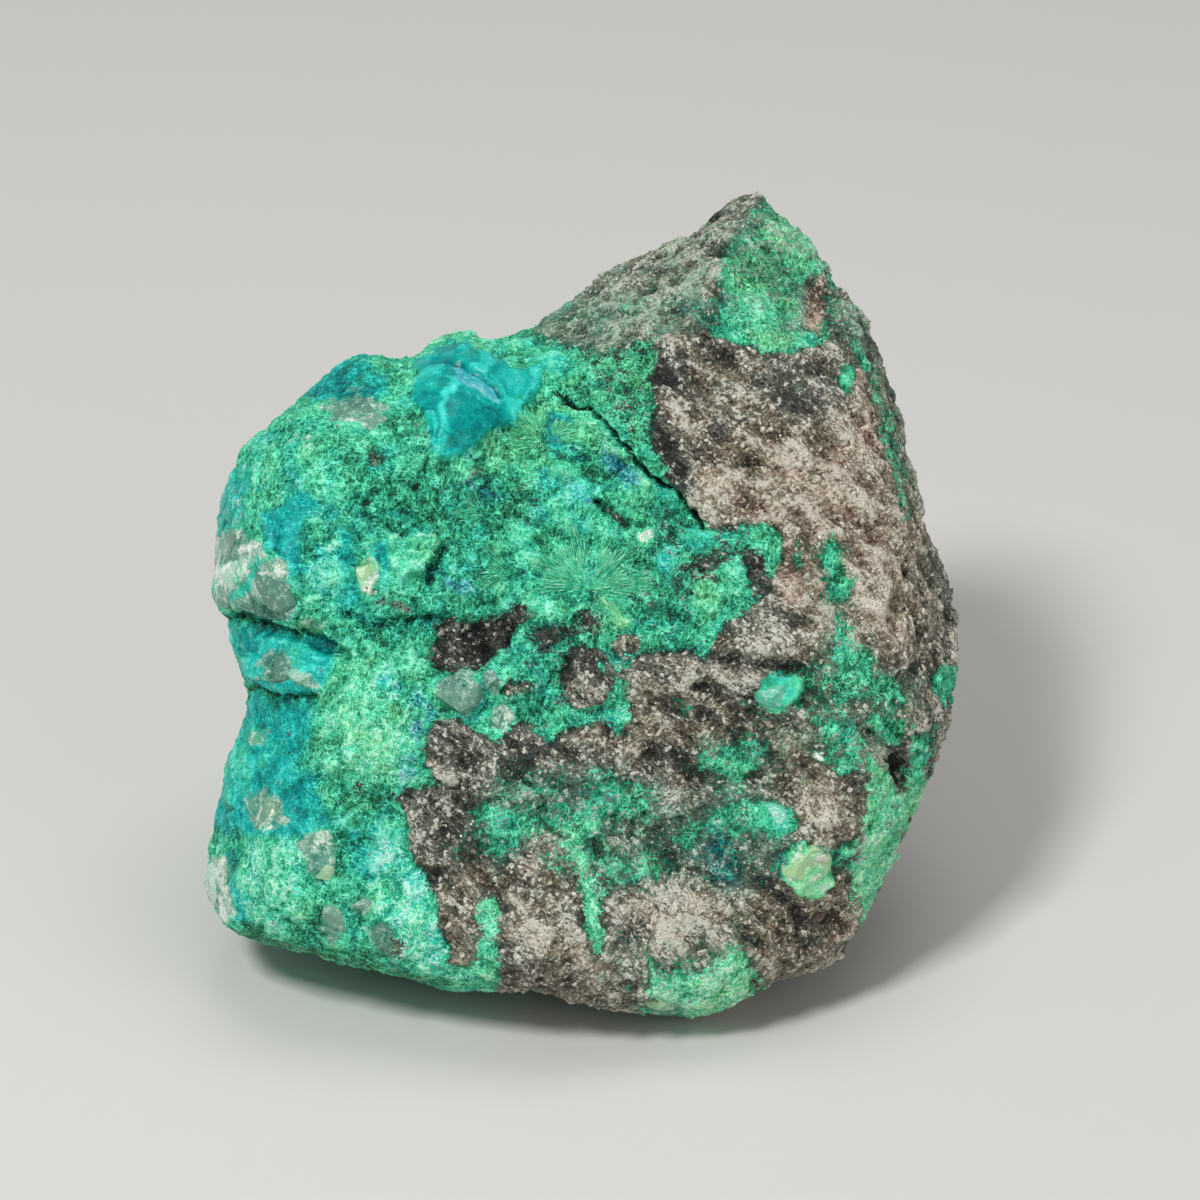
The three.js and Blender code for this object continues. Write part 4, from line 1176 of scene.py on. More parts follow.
@dataclass(frozen=True)
class StoneFinish:
    """The skin: felted crust, glassy chrysocolla, quartz and grainy host rock in one finish.

    Attributes:
        tuft: The width of one tuft of the felt, in millimetres.
        crackle: The width of the cells that pale threads outline, in millimetres.
        grain: The width of one crystal grain of the rock, in millimetres.
        streak_deg: The turn of most of the rock's streaks on the face.
        cross_deg: The turn of the streaks that cross them.
        streak: The width of the rock's streaks, in millimetres.
        hair: The width of the crust's fine hairs, in millimetres.
        hair_turns: The two turns of those hairs on the face, in degrees.
        bump_mm: The depth of the fine relief.
        crust_shine: How much the crust reflects.
        rock_shine: How much the rock reflects.
    """

    crust: CrustPalette = field(default_factory=CrustPalette)
    rock: RockPalette = field(default_factory=RockPalette)
    tuft: float = 2.4
    crackle: float = 1.5
    grain: float = 0.36
    streak_deg: float = -40.0
    cross_deg: float = 38.0
    streak: float = 0.26
    hair: float = 0.22
    hair_turns: tuple[float, float] = (75.0, -10.0)
    bump_mm: float = 0.45
    crust_shine: float = 0.18
    rock_shine: float = 0.7

    def felt(self, graph: Graph, place: Value) -> Value:
        """Strands that radiate from the middle of each tuft, from 0 to 1.

        Args:
            graph: The material.
            place: Places in millimetres.

        Returns:
            Noise about a half.
        """
        inputs = {"Vector": place, "Scale": 1.0 / self.tuft, "Randomness": 1.0}
        middle = graph.value("ShaderNodeTexVoronoi", {"feature": "F1"}, inputs, "Position")
        middle = graph.vector("SCALE", middle, {"Scale": self.tuft})
        spoke = graph.vector("NORMALIZE", graph.vector("SUBTRACT", place, {1: middle}), {})
        spread = graph.vector("SCALE", spoke, {"Scale": 5.0})
        spread = graph.vector("ADD", spread, {1: middle})
        return graph.noise(spread, 0.45, 2.0, 0.6)

    def threads(self, graph: Graph, place: Value) -> Value:
        """Thin pale threads round wandering cells, from 0 to 1.

        Args:
            graph: The material.
            place: Places in millimetres.

        Returns:
            1 on a thread.
        """
        bend = graph.add("ShaderNodeTexNoise", {}, {"Vector": place, "Scale": 1.1, "Detail": 2.0})
        bent = graph.vector("SCALE", Value(graph, bend.outputs["Color"]), {"Scale": 1.6})
        bent = graph.vector("ADD", place, {1: bent})
        inputs = {"Vector": bent, "Scale": 1.0 / self.crackle}
        gap = graph.value("ShaderNodeTexVoronoi", {"feature": "DISTANCE_TO_EDGE"}, inputs,
                          "Distance")
        return gap.ramp(0.0, 0.11, 1.0, 0.0)

    def hatch(
        self, graph: Graph, place: Value, size: float, turns: tuple[float, float], pick: Value
    ) -> Value:
        """Fine streaks that run one way in some places and another way in others.

        Args:
            graph: The material.
            place: Places in millimetres.
            size: The width of a streak, in millimetres.
            turns: The two turns on the face, in degrees.
            pick: 0 for the first turn, 1 for the second.

        Returns:
            Noise about nought.
        """
        first, second = (
            graph.noise(graph.squash(place, FaceFrame().direction(turn), 0.64), size, 3.0, 0.72)
            for turn in turns
        )
        return first + (second - first) * pick - 0.5

    def fibres(self, graph: Graph, place: Value) -> Value:
        """A tangle of short curved pale fibres, from 0 to 1.

        Args:
            graph: The material.
            place: Places in millimetres.

        Returns:
            1 on a fibre.
        """
        tangle = None
        for size, shift in ((0.8, 0.0), (1.1, 31.0), (0.6, 77.0)):
            moved = graph.vector("ADD", place, {1: (shift, shift, shift)})
            level = graph.noise(moved, size, 0.0) - 0.5
            line = abs(level).ramp(0.012, 0.04, 1.0, 0.0)
            tangle = line if tangle is None else tangle.most(line)
        return tangle

    def build(self) -> bpy.types.Material:
        """Builds the finish.

        Returns:
            The material.
        """
        graph = Graph("stone_skin")
        place = graph.millimetres()
        names = [name for name in CHANNELS if name != "proud"] + ["relief"]
        channels = {name: graph.channel(name) for name in names}
        found = self.patterns(graph, place, channels)
        crust = self.crust_colour(graph, place, channels, found)
        rock = self.rock_colour(graph, place, channels, found, crust)
        edge = channels["rock"] + found.broad * 1.6 + found.medium * 3.2 + found.fine * 3.4
        is_rock = edge.ramp(-0.14, 0.14)
        lift_crust, lift_rock = self.lifts(found)
        normal = graph.bump(lift_crust + (lift_rock - lift_crust) * is_rock, self.bump_mm)
        crust_shader = graph.shader({
            "Base Color": crust,
            "Roughness": 0.7 - channels["glass"] * 0.5 - found.clear * 0.3,
            "Specular IOR Level": self.crust_shine,
            "Normal": normal,
        })
        rock_shader = graph.shader({
            "Base Color": rock,
            "Roughness": 0.44 - (found.spark - 0.5) * 0.4,
            "Specular IOR Level": self.rock_shine,
            "Normal": normal,
        })
        shaders = {0: is_rock, 1: crust_shader, 2: rock_shader}
        return graph.close(graph.value("ShaderNodeMixShader", {}, shaders))

    def patterns(self, graph: Graph, place: Value, channels: dict) -> Patterns:
        """Adds the patterns that the crust and the rock share.

        Args:
            graph: The material.
            place: Places in millimetres.
            channels: The skin's channels.

        Returns:
            The patterns.
        """
        fine = graph.noise(place, 0.24, 2.0, 0.7) - 0.5
        medium = graph.noise(place, 1.0, 3.0, 0.65) - 0.5
        broad = graph.noise(place, 2.6, 4.0, 0.62) - 0.5
        threads = self.threads(graph, place) * medium.ramp(-0.05, 0.15)
        threads = threads.most(self.fibres(graph, place) * (0.78 + medium * 2.0))
        cells = {"Vector": place, "Scale": 1.0 / self.grain, "Randomness": 1.0}
        grain = graph.add("ShaderNodeTexVoronoi", {"feature": "F1"}, cells)
        spark = graph.value("ShaderNodeSeparateColor", {},
                            {0: Value(graph, grain.outputs["Color"])}, "Red")
        clear = (channels["quartz"] + medium * 1.6 + fine * 0.6).ramp(0.3, 0.6)
        wool = 1.0 - channels["glass"].most(clear) * 0.85
        return Patterns(fine, medium, broad, self.felt(graph, place) - 0.5, threads, spark,
                        Value(graph, grain.outputs["Distance"]), clear, wool)

    def lifts(self, found: Patterns) -> tuple[Value, Value]:
        """The heights of the fine relief.

        Args:
            found: The shared patterns.

        Returns:
            The crust's height and the rock's.
        """
        crust = found.felt * 0.5 + found.fine * 0.3 + found.medium * 0.2 + found.threads * 0.2
        rock = found.spark * 0.4 - found.gap * 0.4 + found.fine * 1.8 + found.medium * 0.6
        return crust * found.wool, rock

    def crust_colour(
        self, graph: Graph, place: Value, channels: dict, found: Patterns
    ) -> Value:
        """The crust's colour, with its azurite and quartz.

        Args:
            graph: The material.
            place: Places in millimetres.
            channels: The skin's channels.
            found: The shared patterns.

        Returns:
            The colour.
        """
        fine, medium, broad, wool = found.fine, found.medium, found.broad, found.wool
        relief, pale, glass = channels["relief"], channels["pale"], channels["glass"]
        pick = (medium + broad * 0.5).ramp(-0.05, 0.05)
        hair = self.hatch(graph, place, self.hair, self.hair_turns, pick)
        strands = found.felt * 0.4 + hair * 1.7 + fine * 0.5 + found.threads * 0.42 - 0.15
        shade = 0.585 + pale * 0.36 + strands * wool + medium * 0.3
        # relief * 0.2 lightens the tops of the relief and darkens its hollows: painted shade.
        shade = shade + broad * 0.4 + relief * 0.2
        shade = shade - medium.ramp(-0.12, -0.26) * wool * 0.12
        scratches = found.threads.most(found.spark.ramp(0.8, 0.9))
        flaw = (medium + fine * 0.8).ramp(0.1, 0.22) * scratches
        shade = shade + (fine * 0.2 + medium * 0.05 + flaw * 0.16 - 0.04) * glass
        shade = shade.most(0.17 + pale * 0.34).least(0.88 + pale.most(0.0) * 0.2)
        hue = channels["teal"] + broad * 2.8 + medium * 1.2
        crust = self.crust.colour(graph, shade, hue)
        blue = (channels["blue"] + medium * 2.2 + fine).ramp(0.25, 0.85) * 0.7
        crust = graph.mix(blue, crust, graph.ramp(shade, self.crust.azurite))
        # relief * 0.2 here is painted shade on the quartz as well: lighter tops, darker hollows.
        cloud = 0.54 + pale * 0.35 + fine * 1.0 + medium * 1.2 + relief * 0.2
        return graph.mix(found.clear, crust, graph.ramp(cloud, self.crust.quartz))

    def rock_colour(
        self, graph: Graph, place: Value, channels: dict, found: Patterns, crust: Value
    ) -> Value:
        """The rock's colour.

        Args:
            graph: The material.
            place: Places in millimetres.
            channels: The skin's channels.
            found: The shared patterns.
            crust: The crust's colour, for stains.

        Returns:
            The colour.
        """
        fine, medium, broad = found.fine, found.medium, found.broad
        pick = (broad + medium * 0.6 + channels["film"] * 0.12).ramp(-0.04, 0.06)
        streak = self.hatch(graph, place, self.streak, (self.streak_deg, self.cross_deg), pick)
        drawn = graph.squash(place, FaceFrame().direction(self.streak_deg), 0.75)
        band = graph.noise(drawn, 2.1, 3.0, 0.6) - 0.5
        # Thin dark lines along the streaks, with no cleft in the relief under them: painted shade
        # of clefts.
        cleft_shade = abs(graph.noise(drawn, 1.2, 3.0, 0.6) - 0.5).ramp(0.0, 0.035, 1.0, 0.0)
        # glint lifts the brightest grain cells towards white: painted glints, beside the real
        # gloss that their lower roughness gives.
        glint = found.threads * 0.1 - 0.04 + found.spark.ramp(0.88, 0.93) * 0.6
        # relief * 0.24 lightens the rock's tops and darkens its hollows: painted shade.
        shade = 0.57 + channels["light"] * 0.34 + channels["relief"] * 0.24
        shade = shade + streak * 2.0 + band * 1.0 + fine * 1.0 + medium * 0.5 + glint
        shade = shade + streak.ramp(0.06, 0.16) * fine.ramp(0.0, 0.1) * 0.3
        shade = shade - cleft_shade * 0.26 + channels["rock"].ramp(0.0, 0.7, -0.25, 0.0)
        warm = channels["warm"] + broad * 2.2 + band * 1.0 + fine * 1.0 + 0.15
        rock = self.rock.colour(graph, shade, warm)
        stain = (channels["film"] + medium * 1.6 + broad * 1.6).ramp(0.1, 0.9) * 0.8
        return graph.mix(stain, rock, graph.mix(0.5, rock, crust))


@dataclass(frozen=True)
class NeedleFinish:
    """Silky malachite and chrysocolla needles, paler at their tips."""

    crust: CrustPalette = field(default_factory=CrustPalette)

    def build(self) -> bpy.types.Material:
        """Builds the finish.

        Returns:
            The material.
        """
        graph = Graph("needle_silk")
        shade = 0.62 + graph.channel("pale") * 0.3 + (graph.channel("own") - 0.5) * 0.5
        shade = shade + (graph.channel("tip") - 0.4) * 0.3
        place = graph.millimetres()
        shade = shade + (graph.noise(place, 0.3) - 0.5) * 0.3
        hue = graph.channel("teal")
        surface = {
            "Base Color": self.crust.colour(graph, shade, hue),
            "Roughness": 0.55,
            "Specular IOR Level": 0.25,
        }
        return graph.close(graph.shader(surface))


@dataclass(frozen=True)
class GrainFinish:
    """Loose crystal grains of the host rock, each its own shade and glossy."""

    rock: RockPalette = field(default_factory=RockPalette)

    def build(self) -> bpy.types.Material:
        """Builds the finish.

        Returns:
            The material.
        """
        graph = Graph("rock_grain")
        place = graph.millimetres()
        own = graph.channel("own")
        # own lifts a few grains close to white: partly pale grains, partly painted glints.
        shade = 0.4 + graph.channel("light") * 0.25 + own * 0.6
        shade = shade + (graph.noise(place, 0.35) - 0.5) * 0.5
        colour = self.rock.colour(graph, shade, graph.channel("warm"))
        normal = graph.bump(graph.noise(place, 0.2), 0.08)
        surface = {"Base Color": colour, "Roughness": 0.5 - own * 0.25, "Normal": normal}
        return graph.close(graph.shader(surface))


@dataclass(frozen=True)
class QuartzFinish:
    """Cloudy quartz and chalcedony, clear grey-green to milky white."""

    tints: Stops = ((0.0, (78, 140, 120)), (0.2, (128, 182, 158)), (0.35, (196, 238, 180)),
                    (0.6, (70, 196, 160)), (0.72, (130, 224, 200)), (1.0, (236, 242, 226)))

    def build(self) -> bpy.types.Material:
        """Builds the finish.

        Returns:
            The material.
        """
        graph = Graph("quartz_glass")
        place = graph.millimetres()
        cloud = graph.noise(place, 0.7, 3.0, 0.6) - 0.5
        fleck = graph.noise(place, 0.25, 2.0, 0.6) - 0.5
        colour = graph.ramp(graph.channel("tint") + cloud * 0.35, self.tints)
        pale = (cloud + fleck).ramp(0.08, 0.26) * 0.55
        colour = graph.mix(pale, colour, linear((226, 240, 224)))
        surface = {
            "Base Color": colour,
            "Roughness": 0.16 + (fleck + 0.5) * 0.25,
            "Transmission Weight": 0.3,
            "IOR": 1.544,
            "Normal": graph.bump(cloud + fleck * 0.5, 0.15),
        }
        return graph.close(graph.shader(surface))


# ---- The skin -------------------------------------------------------------------------------


@dataclass
class Relief:
    """The skin's fine relief, in millimetres.

    Attributes:
        pillow: The swell of the crust's larger pillows.
        bead: The swell of the small beads on them.
        facet: The tilt of the rock's broken facets.
        chip: The tilt of the small chips on them.
        crease: The depth of the rock's long creases.
        lean_deg: The turn of the rock's long creases on the face.
        foot_clear: How far up from the underside the relief fades in.
    """

    pillow: float = 0.3
    bead: float = 0.15
    facet: float = 0.3
    chip: float = 0.14
    crease: float = 0.3
    lean_deg: float = -36.0
    foot_clear: float = 1.6

    def height(self, places: np.ndarray, channels: dict) -> np.ndarray:
        """How far each point stands out of the solid.

        Args:
            places: Points in the face's frame, in millimetres.
            channels: The skin's channels.

        Returns:
            One height in millimetres for each point.
        """
        mingle = channels["rock"] + 0.9 * lumps(places, 1.0, 43.0) + 0.5 * lumps(places, 2.4, 4.0)
        rock = ramp(mingle, -0.22, 0.22)
        crust = self.crust(places, np.maximum(channels["glass"], channels["quartz"]))
        host = self.host(places)
        return crust + rock * (host - crust) + 0.12 * (1.0 - rock)

    def crust(self, places: np.ndarray, glass: np.ndarray) -> np.ndarray:
        """The crust's pillows, beads and tufts.

        Args:
            places: Points in the face's frame, in millimetres, one row each.
            glass: How glassy each point is.

        Returns:
            One height in millimetres for each point.
        """
        wool = 1.0 - 0.85 * np.clip(glass, 0.0, 1.0)
        gap, broken = facets(places, 3.0)
        pillows = self.pillow * (1.6 * np.sqrt(np.clip(gap, 0.0, 1.0)) - 0.8 + 0.6 * broken) * wool
        gap, plane = facets(places + 0.5 * lumps(places, 1.4, 9.0)[:, None], 1.35)
        beads = self.bead * (1.6 * np.sqrt(np.clip(gap, 0.0, 1.0)) - 0.8 + 0.7 * plane)
        tufts = 0.07 * lumps(places, 0.5, 57.0) - 0.12 * ramp(lumps(places, 0.9, 63.0), 0.22, 0.5)
        _, flake = facets(places, 0.8)
        tufts = tufts + 0.1 * flake
        return pillows + 0.6 * self.pillow * broken * (1.0 - wool) + (beads + tufts) * wool

    def host(self, places: np.ndarray) -> np.ndarray:
        """The rock's facets, chips and long creases.

        Args:
            places: Points in the face's frame, in millimetres, one row each.

        Returns:
            One height in millimetres for each point.
        """
        turn = math.radians(self.lean_deg)
        along = places[:, 0] * math.cos(turn) + places[:, 1] * math.sin(turn)
        across = places[:, 1] * math.cos(turn) - places[:, 0] * math.sin(turn)
        drawn = np.stack([along / 1.6, across, places[:, 2]], axis=1)
        crease = self.crease * (0.8 - 3.2 * np.abs(lumps(drawn, 2.3, 31.0)))
        crease = crease + 0.5 * self.crease * (0.5 - 2.0 * np.abs(lumps(drawn, 0.9, 47.0)))
        _, plane = facets(drawn, 2.3)
        _, chip = facets(places, 0.95)
        fine = 0.09 * lumps(places, 0.45, 77.0)
        return crease + self.facet * plane + self.chip * chip + fine


class Part(Enum):
    """The parts that the skin is divided into."""

    CRUST = "crust_skin"
    WET = "chrysocolla_skin"
    ROCK = "rock_skin"
    BACK = "back_skin"


@dataclass
class Skin:
    """The stone's visible skin, grown on the fixed solid.

    Attributes:
        cuts: How many cuts each edge of the solid gets.
        ease: How strongly the solid's own edges are eased before the relief.
    """

    face: FaceFrame
    painter: Painter = field(default_factory=Painter)
    relief: Relief = field(default_factory=Relief)
    cuts: int = 4
    ease: float = 0.5
    places: np.ndarray = field(default=None, init=False)
    normals: np.ndarray = field(default=None, init=False)
    triangles: np.ndarray = field(default=None, init=False)
    channels: dict = field(default_factory=dict, init=False)

    def build(self, finish: bpy.types.Material) -> list[bpy.types.Object]:
        """Builds the skin.

        Args:
            finish: The skin's material.

        Returns:
            The skin's parts.
        """
        mesh = self.refine()
        points = read_rows(mesh, "co")
        normals = read_rows(mesh, "normal")
        face_points = self.face.to_face(points)
        facing = self.facing(points, normals)
        self.channels = self.painter.paint(face_points, self.face.seen(face_points), facing)
        relief = self.relief.height(face_points, self.channels)
        height = (relief + self.channels["proud"]) * MM
        low = points[:, 2].min()
        clear = ramp(points[:, 2] - low, 0.1 * MM, self.relief.foot_clear * MM)
        points = points + normals * (height * clear)[:, None]
        points[:, 2] = np.maximum(points[:, 2], low)
        mesh.vertices.foreach_set("co", points.astype(np.float32).ravel())
        mesh.update()
        for name in CHANNELS:
            write_channel(mesh, name, self.channels[name])
        # The relief channel is the relief's height; the finish also uses it for painted shade.
        write_channel(mesh, "relief", relief / self.relief.pillow)
        smooth_shade(mesh)
        self.places = points
        self.normals = read_rows(mesh, "normal")
        self.triangles = read_triangles(mesh)
        return self.divide(mesh, facing, finish)

    def facing(self, points: np.ndarray, normals: np.ndarray) -> np.ndarray:
        """How squarely each point faces the eye, from -1 to 1.

        Args:
            points: Points in metres, one row each.
            normals: Their normals.

        Returns:
            One number for each point.
        """
        eye = self.face.origin() + self.face.axes().col[2] * self.face.viewing_mm * MM
        toward = np.array(eye) - points
        toward /= np.linalg.norm(toward, axis=1)[:, None]
        return np.sum(normals * toward, axis=1)

    def refine(self) -> bpy.types.Mesh:
        """A finely divided and eased copy of the solid, finest on the display face.

        Returns:
            The new mesh.
        """
        mesh = bpy.data.meshes.new("stone_skin")
        work = bmesh.new()
        work.from_mesh(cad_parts[NODE].data)
        bmesh.ops.remove_doubles(work, verts=work.verts, dist=0.001 * MM)
        bmesh.ops.subdivide_edges(work, edges=work.edges, cuts=self.cuts, use_grid_fill=True)
        self.smooth(work)
        work.normal_update()
        toward = self.face.axes().col[2]
        front = {edge for face in work.faces if face.normal.dot(toward) > -0.05
                 for edge in face.edges}
        bmesh.ops.subdivide_edges(work, edges=list(front), cuts=1, use_grid_fill=True)
        self.smooth(work)
        bmesh.ops.triangulate(work, faces=work.faces)
        work.to_mesh(mesh)
        work.free()
        return mesh

    def smooth(self, work: bmesh.types.BMesh) -> None:
        """Eases everything but the flat underside.

        Args:
            work: The skin under construction.
        """
        low = min(vertex.co.z for vertex in work.verts)
        free = [vertex for vertex in work.verts if vertex.co.z > low + 0.05 * MM]
        for _ in range(2):
            bmesh.ops.smooth_vert(work, verts=free, factor=self.ease, use_axis_x=True,
                                  use_axis_y=True, use_axis_z=True)

    def divide(
        self, mesh: bpy.types.Mesh, facing: np.ndarray, finish: bpy.types.Material
    ) -> list[bpy.types.Object]:
        """Divides the skin into its crust, its chrysocolla, its rock and its back.

        Args:
            mesh: The whole skin.
            facing: How squarely each point faces the eye.
            finish: The skin's material.

        Returns:
            One object for each part.
        """
        corners = self.triangles
        rock = self.channels["rock"][corners].mean(axis=1) > 0.0
        wet = self.channels["teal"][corners].mean(axis=1) > 0.25
        back = facing[corners].mean(axis=1) < -0.08
        share = {Part.CRUST: ~rock & ~wet & ~back, Part.WET: ~rock & wet & ~back,
                 Part.ROCK: rock & ~back, Part.BACK: back}
        pieces = []
        for part, kept in share.items():
            copy = mesh.copy()
            work = bmesh.new()
            work.from_mesh(copy)
            work.faces.ensure_lookup_table()
            dropped = [work.faces[i] for i in np.flatnonzero(~kept)]
            bmesh.ops.delete(work, geom=dropped, context="FACES")
            work.to_mesh(copy)
            work.free()
            pieces.append(dress(part.value, copy, finish))
        bpy.data.meshes.remove(mesh)
        return pieces


def read_rows(mesh: bpy.types.Mesh, entry: str) -> np.ndarray:
    """The "co" or "normal" of a mesh's points, one row each.

    Args:
        mesh: The mesh.
        entry: Which of the two to read.

    Returns:
        One row of three for each point.
    """
    flat = np.empty(3 * len(mesh.vertices), np.float32)
    mesh.vertices.foreach_get(entry, flat)
    return flat.reshape(-1, 3).astype(float)


def read_triangles(mesh: bpy.types.Mesh) -> np.ndarray:
    """The point numbers of a triangle mesh, one row for each triangle.

    Args:
        mesh: The mesh.

    Returns:
        One row of three for each triangle.
    """
    flat = np.empty(len(mesh.loops), np.int32)
    mesh.loops.foreach_get("vertex_index", flat)
    return flat.reshape(-1, 3)


def write_channel(mesh: bpy.types.Mesh, name: str, values: np.ndarray) -> None:
    """Gives a mesh a number at each point, for its material to read."""
    attribute = mesh.attributes.new(name, "FLOAT", "POINT")
    attribute.data.foreach_set("value", np.asarray(values, np.float32))


def smooth_shade(mesh: bpy.types.Mesh) -> None:
    """Shades a mesh smoothly."""
    mesh.polygons.foreach_set("use_smooth", np.ones(len(mesh.polygons), bool))


def dress(name: str, mesh: bpy.types.Mesh, finish: bpy.types.Material) -> bpy.types.Object:
    """Makes a mesh an object of the scene, fixed to the stone's body.

    Args:
        name: The piece's name.
        mesh: The mesh.
        finish: The material of the piece.

    Returns:
        The object.
    """
    mesh.name = name
    mesh.materials.clear()
    mesh.materials.append(finish)
    piece = bpy.data.objects.new(name, mesh)
    bpy.context.scene.collection.objects.link(piece)
    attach(piece, "root")
    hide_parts(NODE)
    LOG.info("%s: %d faces", name, len(mesh.polygons))
    return piece


# ---- Small crystals that stand on the skin --------------------------------------------------


@dataclass
class Sown:
    """Where small crystals stand: their roots, normals and the skin's channels there."""

    roots: np.ndarray
    normals: np.ndarray
    channels: dict


@dataclass
class Sower:
    """Picks places on the skin at random, more of them where a weight is high."""

    skin: Skin
    face: FaceFrame
    chance: np.random.Generator

    def sow(self, weight: np.ndarray, count: int) -> Sown:
        """Picks places.

        Args:
            weight: How likely each point of the skin is, not negative.
            count: How many places to pick.

        Returns:
            The places.
        """
        corners = self.skin.triangles
        spans = [self.skin.places[corners[:, k]] - self.skin.places[corners[:, 0]] for k in (1, 2)]
        area = np.linalg.norm(np.cross(*spans), axis=1)
        likely = area * weight[corners].mean(axis=1)
        picked = self.chance.choice(len(corners), count, p=likely / likely.sum())
        shares = self.chance.dirichlet((1.0, 1.0, 1.0), count)

        def blend(values: np.ndarray) -> np.ndarray:
            """Blends the values at the corners of the picked triangles."""
            return np.einsum("ij,ij...->i...", shares, values[corners[picked]])

        normals = blend(self.skin.normals)
        normals /= np.linalg.norm(normals, axis=1)[:, None]
        channels = {name: blend(values) for name, values in self.skin.channels.items()}
        return Sown(blend(self.skin.places), normals, channels)

    def above_foot(self) -> np.ndarray:
        """0 at the skin's foot and 1 a little above it."""
        return ramp(self.skin.places[:, 2] / MM, *FOOT_BAND)

    def squareness(self) -> np.ndarray:
        """How squarely each point of the skin faces out of the display face, from -1 to 1."""
        return self.skin.normals @ np.array(self.face.axes())[:, 2]


def flatten(directions: np.ndarray, normals: np.ndarray) -> np.ndarray:
    """Lays directions flat along the skin."""
    return directions - np.sum(directions * normals, axis=1)[:, None] * normals


@dataclass
class Stamp:
    """Joins many turned and scaled copies of a few small shapes into one mesh."""

    shapes: Sequence[np.ndarray]
    faces: Sequence[np.ndarray]

    @classmethod
    def of(cls, makers: Iterable[Callable[[], bmesh.types.BMesh]]) -> "Stamp":
        """Takes the shapes from bmesh makers, with outward faces made triangles.

        Args:
            makers: What makes each shape.

        Returns:
            The stamp.
        """
        shapes, faces = [], []
        for make in makers:
            work = make()
            bmesh.ops.triangulate(work, faces=work.faces)
            bmesh.ops.recalc_face_normals(work, faces=work.faces)
            work.verts.index_update()
            shapes.append(np.array([vertex.co[:] for vertex in work.verts]))
            faces.append(np.array([[v.index for v in f.verts] for f in work.faces]))
            work.free()
        return cls(shapes, faces)

    def press(
        self, name: str, roots: np.ndarray, frames: np.ndarray, kinds: np.ndarray,
        channels: dict,
    ) -> bpy.types.Mesh:
        """Joins the copies.

        Args:
            name: The mesh's name.
            roots: Where each copy's own middle goes, in metres.
            frames: For each copy, the three scaled axes of its shape as columns.
            kinds: Which shape each copy is.
            channels: Numbers that each copy carries to all its points.

        Returns:
            The joined mesh.
        """
        points, polygons, owners, tips = [], [], [], []
        start = 0
        for kind, (shape, faces) in enumerate(zip(self.shapes, self.faces)):
            mine = np.flatnonzero(kinds == kind)
            placed = np.einsum("nij,vj->nvi", frames[mine], shape) + roots[mine][:, None]
            offsets = start + len(shape) * np.arange(len(mine))
            points.append(placed.reshape(-1, 3))
            polygons.append((faces[None] + offsets[:, None, None]).reshape(-1, 3))
            owners.append(np.repeat(mine, len(shape)))
            tips.append(np.tile(shape[:, 2], len(mine)))
            start += len(shape) * len(mine)
        mesh = bpy.data.meshes.new(name)
        mesh.from_pydata(np.concatenate(points), [], np.concatenate(polygons))
        owner = np.concatenate(owners)
        for channel, values in channels.items():
            write_channel(mesh, channel, values[owner])
        write_channel(mesh, "tip", np.concatenate(tips))
        return mesh


def blade_shape() -> bmesh.types.BMesh:
    """A slim four-cornered spindle from the origin to one unit up.

    Returns:
        The shape.
    """
    work = bmesh.new()
    bmesh.ops.create_cone(work, cap_ends=True, segments=3, radius1=0.5, radius2=0.12, depth=1.0)
    bmesh.ops.translate(work, verts=work.verts, vec=(0.0, 0.0, 0.5))
    return work


def grain_shape(seed: int) -> bmesh.types.BMesh:
    """One irregular crystal grain: a block with its corners knocked out of square.

    Args:
        seed: Settles the shape.

    Returns:
        The shape.
    """
    chance = np.random.default_rng(seed)
    work = bmesh.new()
    bmesh.ops.create_cube(work, size=1.0)
    for vertex in work.verts:
        vertex.co += Vector(chance.uniform(-0.22, 0.22, 3))
    return work


def turned_frames(
    along: np.ndarray, length: np.ndarray, width: np.ndarray, chance: np.random.Generator
) -> np.ndarray:
    """Scaled axes for copies whose up runs along given directions, spun at random.

    Args:
        along: Each copy's own up, one row each.
        length: Each copy's length.
        width: Each copy's width.
        chance: The source of the spin.

    Returns:
        One 3 by 3 matrix for each copy, with the axes as columns.
    """
    along = along / np.linalg.norm(along, axis=1)[:, None]
    side = np.cross(along, chance.normal(size=along.shape))
    side /= np.linalg.norm(side, axis=1)[:, None]
    columns = [side * width[:, None], np.cross(along, side) * width[:, None],
               along * length[:, None]]
    return np.stack(columns, axis=2)


